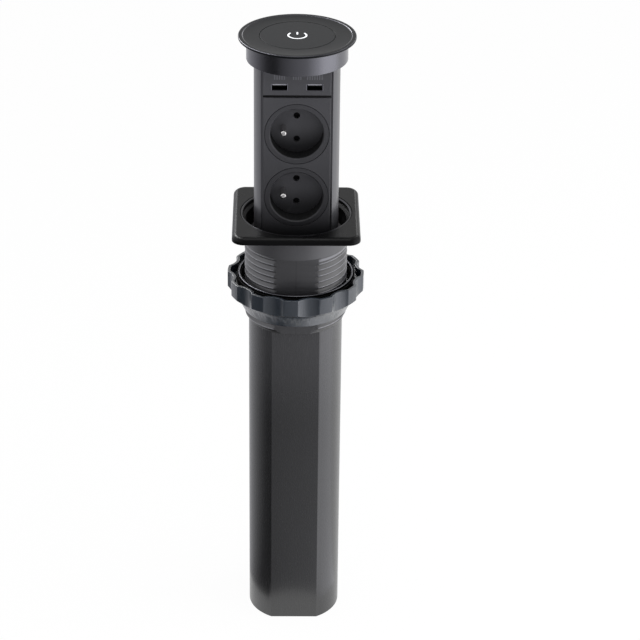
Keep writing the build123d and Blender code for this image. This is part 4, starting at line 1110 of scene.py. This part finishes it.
# %% Return ring
ring_low_corner, ring_high_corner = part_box("return_ring")
ring_out = ring_high_corner[0]
ring_in = ring_out - 0.002
barrel_z = (ring_low_corner[2] + ring_high_corner[2]) / 2
barrel_half = (ring_high_corner[2] - ring_low_corner[2]) / 2
bulge = 0.0003
ring_profile = [
    (ring_in + bulge, barrel_z - barrel_half),
    (ring_out - bulge, barrel_z - barrel_half),
    (ring_out, barrel_z),
    (ring_out - bulge, barrel_z + barrel_half),
    (ring_in + bulge, barrel_z + barrel_half),
    (ring_in, barrel_z),
]
return_ring = dressed(spun(ring_profile, 96), "return_ring_soft", "return_ring", 0)
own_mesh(return_ring)

# %% [markdown]
# ## Floor
#
# The socket stands on plain white. The floor is matt white, and to the camera it also glows
# white by most of its share, which lifts it to the photograph's ground and keeps the object's
# shadow, only fainter.


# %% Floor
def floor_finish():
    finish = Finish("floor")
    cloud = grain(finish, 1.2, 2.0)
    colour = blend(finish, cloud, (0.86, 0.86, 0.86), (0.9, 0.9, 0.9))
    matt = finish.node("ShaderNodeBsdfDiffuse", {}, {"Color": colour})
    glow = finish.node("ShaderNodeEmission", {}, {"Color": (1.0, 1.0, 1.0), "Strength": 1.05})
    rays = [
        finish.node("ShaderNodeLightPath", {}, {}, name)
        for name in ("Is Camera Ray", "Is Glossy Ray", "Is Transmission Ray")
    ]
    seen = 0.9 * (rays[0] + rays[1] + rays[2]).clipped()
    mixed = finish.node("ShaderNodeMixShader", {}, {0: seen, 1: matt, 2: glow})
    finish.node("ShaderNodeOutputMaterial", {}, {"Surface": mixed})
    return finish.material


floor_mesh = bpy.data.meshes.new("floor")
floor_shape = bmesh.new()
bmesh.ops.create_grid(floor_shape, x_segments=2, y_segments=2, size=60.0)
bmesh.ops.translate(floor_shape, vec=(0, 0, cad_low[2] - 0.0002), verts=floor_shape.verts)
floor_shape.to_mesh(floor_mesh)
floor_shape.free()
floor = bpy.data.objects.new("floor", floor_mesh)
floor_mesh.materials.append(floor_finish())
bpy.context.scene.collection.objects.link(floor)
print("floor at", round(cad_low[2], 4), "m")

# %% [markdown]
# ## World
#
# The world is white to the camera, a little darker to reflections, and a plain grey to everything
# else, so that it fills the shade without washing it out.

# %% World
world = bpy.data.worlds.new("studio")
bpy.context.scene.world = world
sky = Finish("studio", world)
sky_camera = sky.node("ShaderNodeLightPath", {}, {}, "Is Camera Ray")
sky_glossy = sky.node("ShaderNodeLightPath", {}, {}, "Is Glossy Ray")
fill_level, mirrored_level = 0.42, 0.8
sky_level = (
    fill_level + (1.0 - fill_level) * sky_camera + (mirrored_level - fill_level) * sky_glossy
)
sky_light = sky.node("ShaderNodeBackground", {}, {"Color": (1.0, 1.0, 1.0), "Strength": sky_level})
sky.node("ShaderNodeOutputWorld", {}, {"Surface": sky_light})
print("world made, fill", fill_level)

# %% [markdown]
# ## Tent
#
# A product photographer hangs cloth round the set, white at the sides and dark behind the
# camera, and smooth pieces show it as soft bands of light and dark down their length. This
# tent is a floor ring and an upright wall. Only reflections see it. Two colour ramps give its
# greys by the angle round the object, which is 0 at the front and grows to the right: upright
# faces mirror the floor's greys, and faces that lean back mirror the wall's.

# %% Tent
floor_greys = [
    (-180, 0.85),
    (-150, 0.75),
    (-118, 0.60),
    (-94, 0.32),
    (-74, 0.08),
    (-50, 0.03),
    (-34, 0.18),
    (0, 0.38),
    (22, 0.46),
    (40, 0.90),
    (60, 1.30),
    (180, 1.30),
]
wall_greys = [
    (-180, 0.9),
    (-150, 1.2),
    (-110, 1.6),
    (-70, 1.4),
    (-45, 0.8),
    (-20, 0.45),
    (20, 0.35),
    (60, 0.25),
    (110, 0.45),
    (180, 0.8),
]


def greys_round(finish, angle, greys):
    stops = [((degree + 180) / 360, grey(level, -0.04)) for degree, level in greys]
    return finish.node("ShaderNodeValToRGB", {"stops": stops}, {"Fac": angle})


def tent_finish():
    finish = Finish("tent")
    x, y, z = axes(finish)
    angle = x.angle_to(0.0 - y) / (2 * pi) + 0.5
    upper = between(finish, z, -0.3, 0.1)
    cloth = blend(
        finish,
        upper,
        greys_round(finish, angle, floor_greys),
        greys_round(finish, angle, wall_greys),
    )
    glow = finish.node("ShaderNodeEmission", {}, {"Color": cloth, "Strength": 1.0})
    finish.node("ShaderNodeOutputMaterial", {}, {"Surface": glow})
    return finish.material


def hung(label, rows, finish):
    """A cloth through rows of points, which only reflections see."""
    shape = bmesh.new()
    rows = [[shape.verts.new(point) for point in row] for row in rows]
    for below, above in zip(rows, rows[1:]):
        for k in range(len(below) - 1):
            shape.faces.new((below[k], below[k + 1], above[k + 1], above[k]))
    mesh = bpy.data.meshes.new(label)
    shape.to_mesh(mesh)
    shape.free()
    mesh.materials.append(finish)
    cloth = bpy.data.objects.new(label, mesh)
    cloth.visible_camera = False
    cloth.visible_diffuse = False
    cloth.visible_shadow = False
    bpy.context.scene.collection.objects.link(cloth)
    return cloth


tent_floor = cad_low[2] + 0.001
tent_first, tent_last, tent_steps, tent_reach, tent_top = -168, 100, 60, 3.2, 4.0
tent_turns = [
    radians(tent_first + (tent_last - tent_first) * k / tent_steps) for k in range(tent_steps + 1)
]
tent_rows = [
    [(reach * sin(turn), -reach * cos(turn), z) for turn in tent_turns]
    for reach, z in ((0.06, tent_floor), (tent_reach, tent_floor), (tent_reach, tent_top))
]
hung("tent", tent_rows, tent_finish())
print("tent with", len(floor_greys), "greys on its floor and", len(wall_greys), "on its wall")

# %% [markdown]
# ## Strip lights
#
# A bevel is a narrow mirror. Where must a light hang for the bevels to flash? The direction that
# a facet mirrors to the camera follows from its normal and the line of sight. A strip through
# the directions of all the normals that lean back by half a right angle, from the left front
# round to the left, draws the thin bright lines on the rim, on the thread's crests and on the
# collar's corner. A shorter one does the same at the right.


# %% Strip lights
def mirrored(normal):
    """The direction that a facet with this normal mirrors to the camera."""
    to_camera = Vector((0, -cos(pitch), sin(pitch)))
    normal = Vector(normal).normalized()
    return 2 * normal.dot(to_camera) * normal - to_camera


def strip_finish(name, level):
    finish = Finish(name)
    glow = finish.node("ShaderNodeEmission", {}, {"Color": (1.0, 1.0, 1.0), "Strength": level})
    finish.node("ShaderNodeOutputMaterial", {}, {"Surface": glow})
    return finish.material


def strip(label, first, last, width, level, reach=1.8, steps=8):
    """A ribbon of light for the bevels that face from first to last degrees from the front."""
    turns = [radians(first + (last - first) * k / steps) for k in range(steps + 1)]
    points = [reach * mirrored((sin(turn), -cos(turn), 1.0)) for turn in turns]
    rows = []
    for before, point, after in zip(points[:1] + points, points, points[1:] + points[-1:]):
        across = (after - before).cross(point).normalized() * width / 2
        rows.append((point - across, point + across))
    return hung(label, rows, strip_finish(label, level))


strip("left_strip", -18, -66, 0.4, 16.0)
strip("right_strip", 40, 75, 0.2, 4.0)
print("two strip lights")

# %% [markdown]
# ## Lamps
#
# A tall broad lamp at the right draws the bright side of every round piece, and a weaker one
# above fills.


# %% Lamps
def lamp(name, place, target, size, power, height=None):
    data = bpy.data.lights.new(name, "AREA")
    data.energy = power
    data.shape = "RECTANGLE"
    data.size = size
    data.size_y = height or size
    light = bpy.data.objects.new(name, data)
    light.location = place
    direction = Vector(target) - Vector(place)
    light.rotation_euler = direction.to_track_quat("-Z", "Y").to_euler()
    bpy.context.scene.collection.objects.link(light)
    return light


lamp("right_side", (1.25, -0.25, 0.25), (0, 0, -0.1), 1.4, 9.0, 1.5)
lamp("top", (0.1, -0.4, 1.6), (0, 0, 0.0), 0.9, 5.0)
print("two lamps")

# %% [markdown]
# ## Close
#
# The colours are shown through the Standard view transform.

# %% Close
scene = bpy.context.scene
scene.view_settings.view_transform = "Standard"
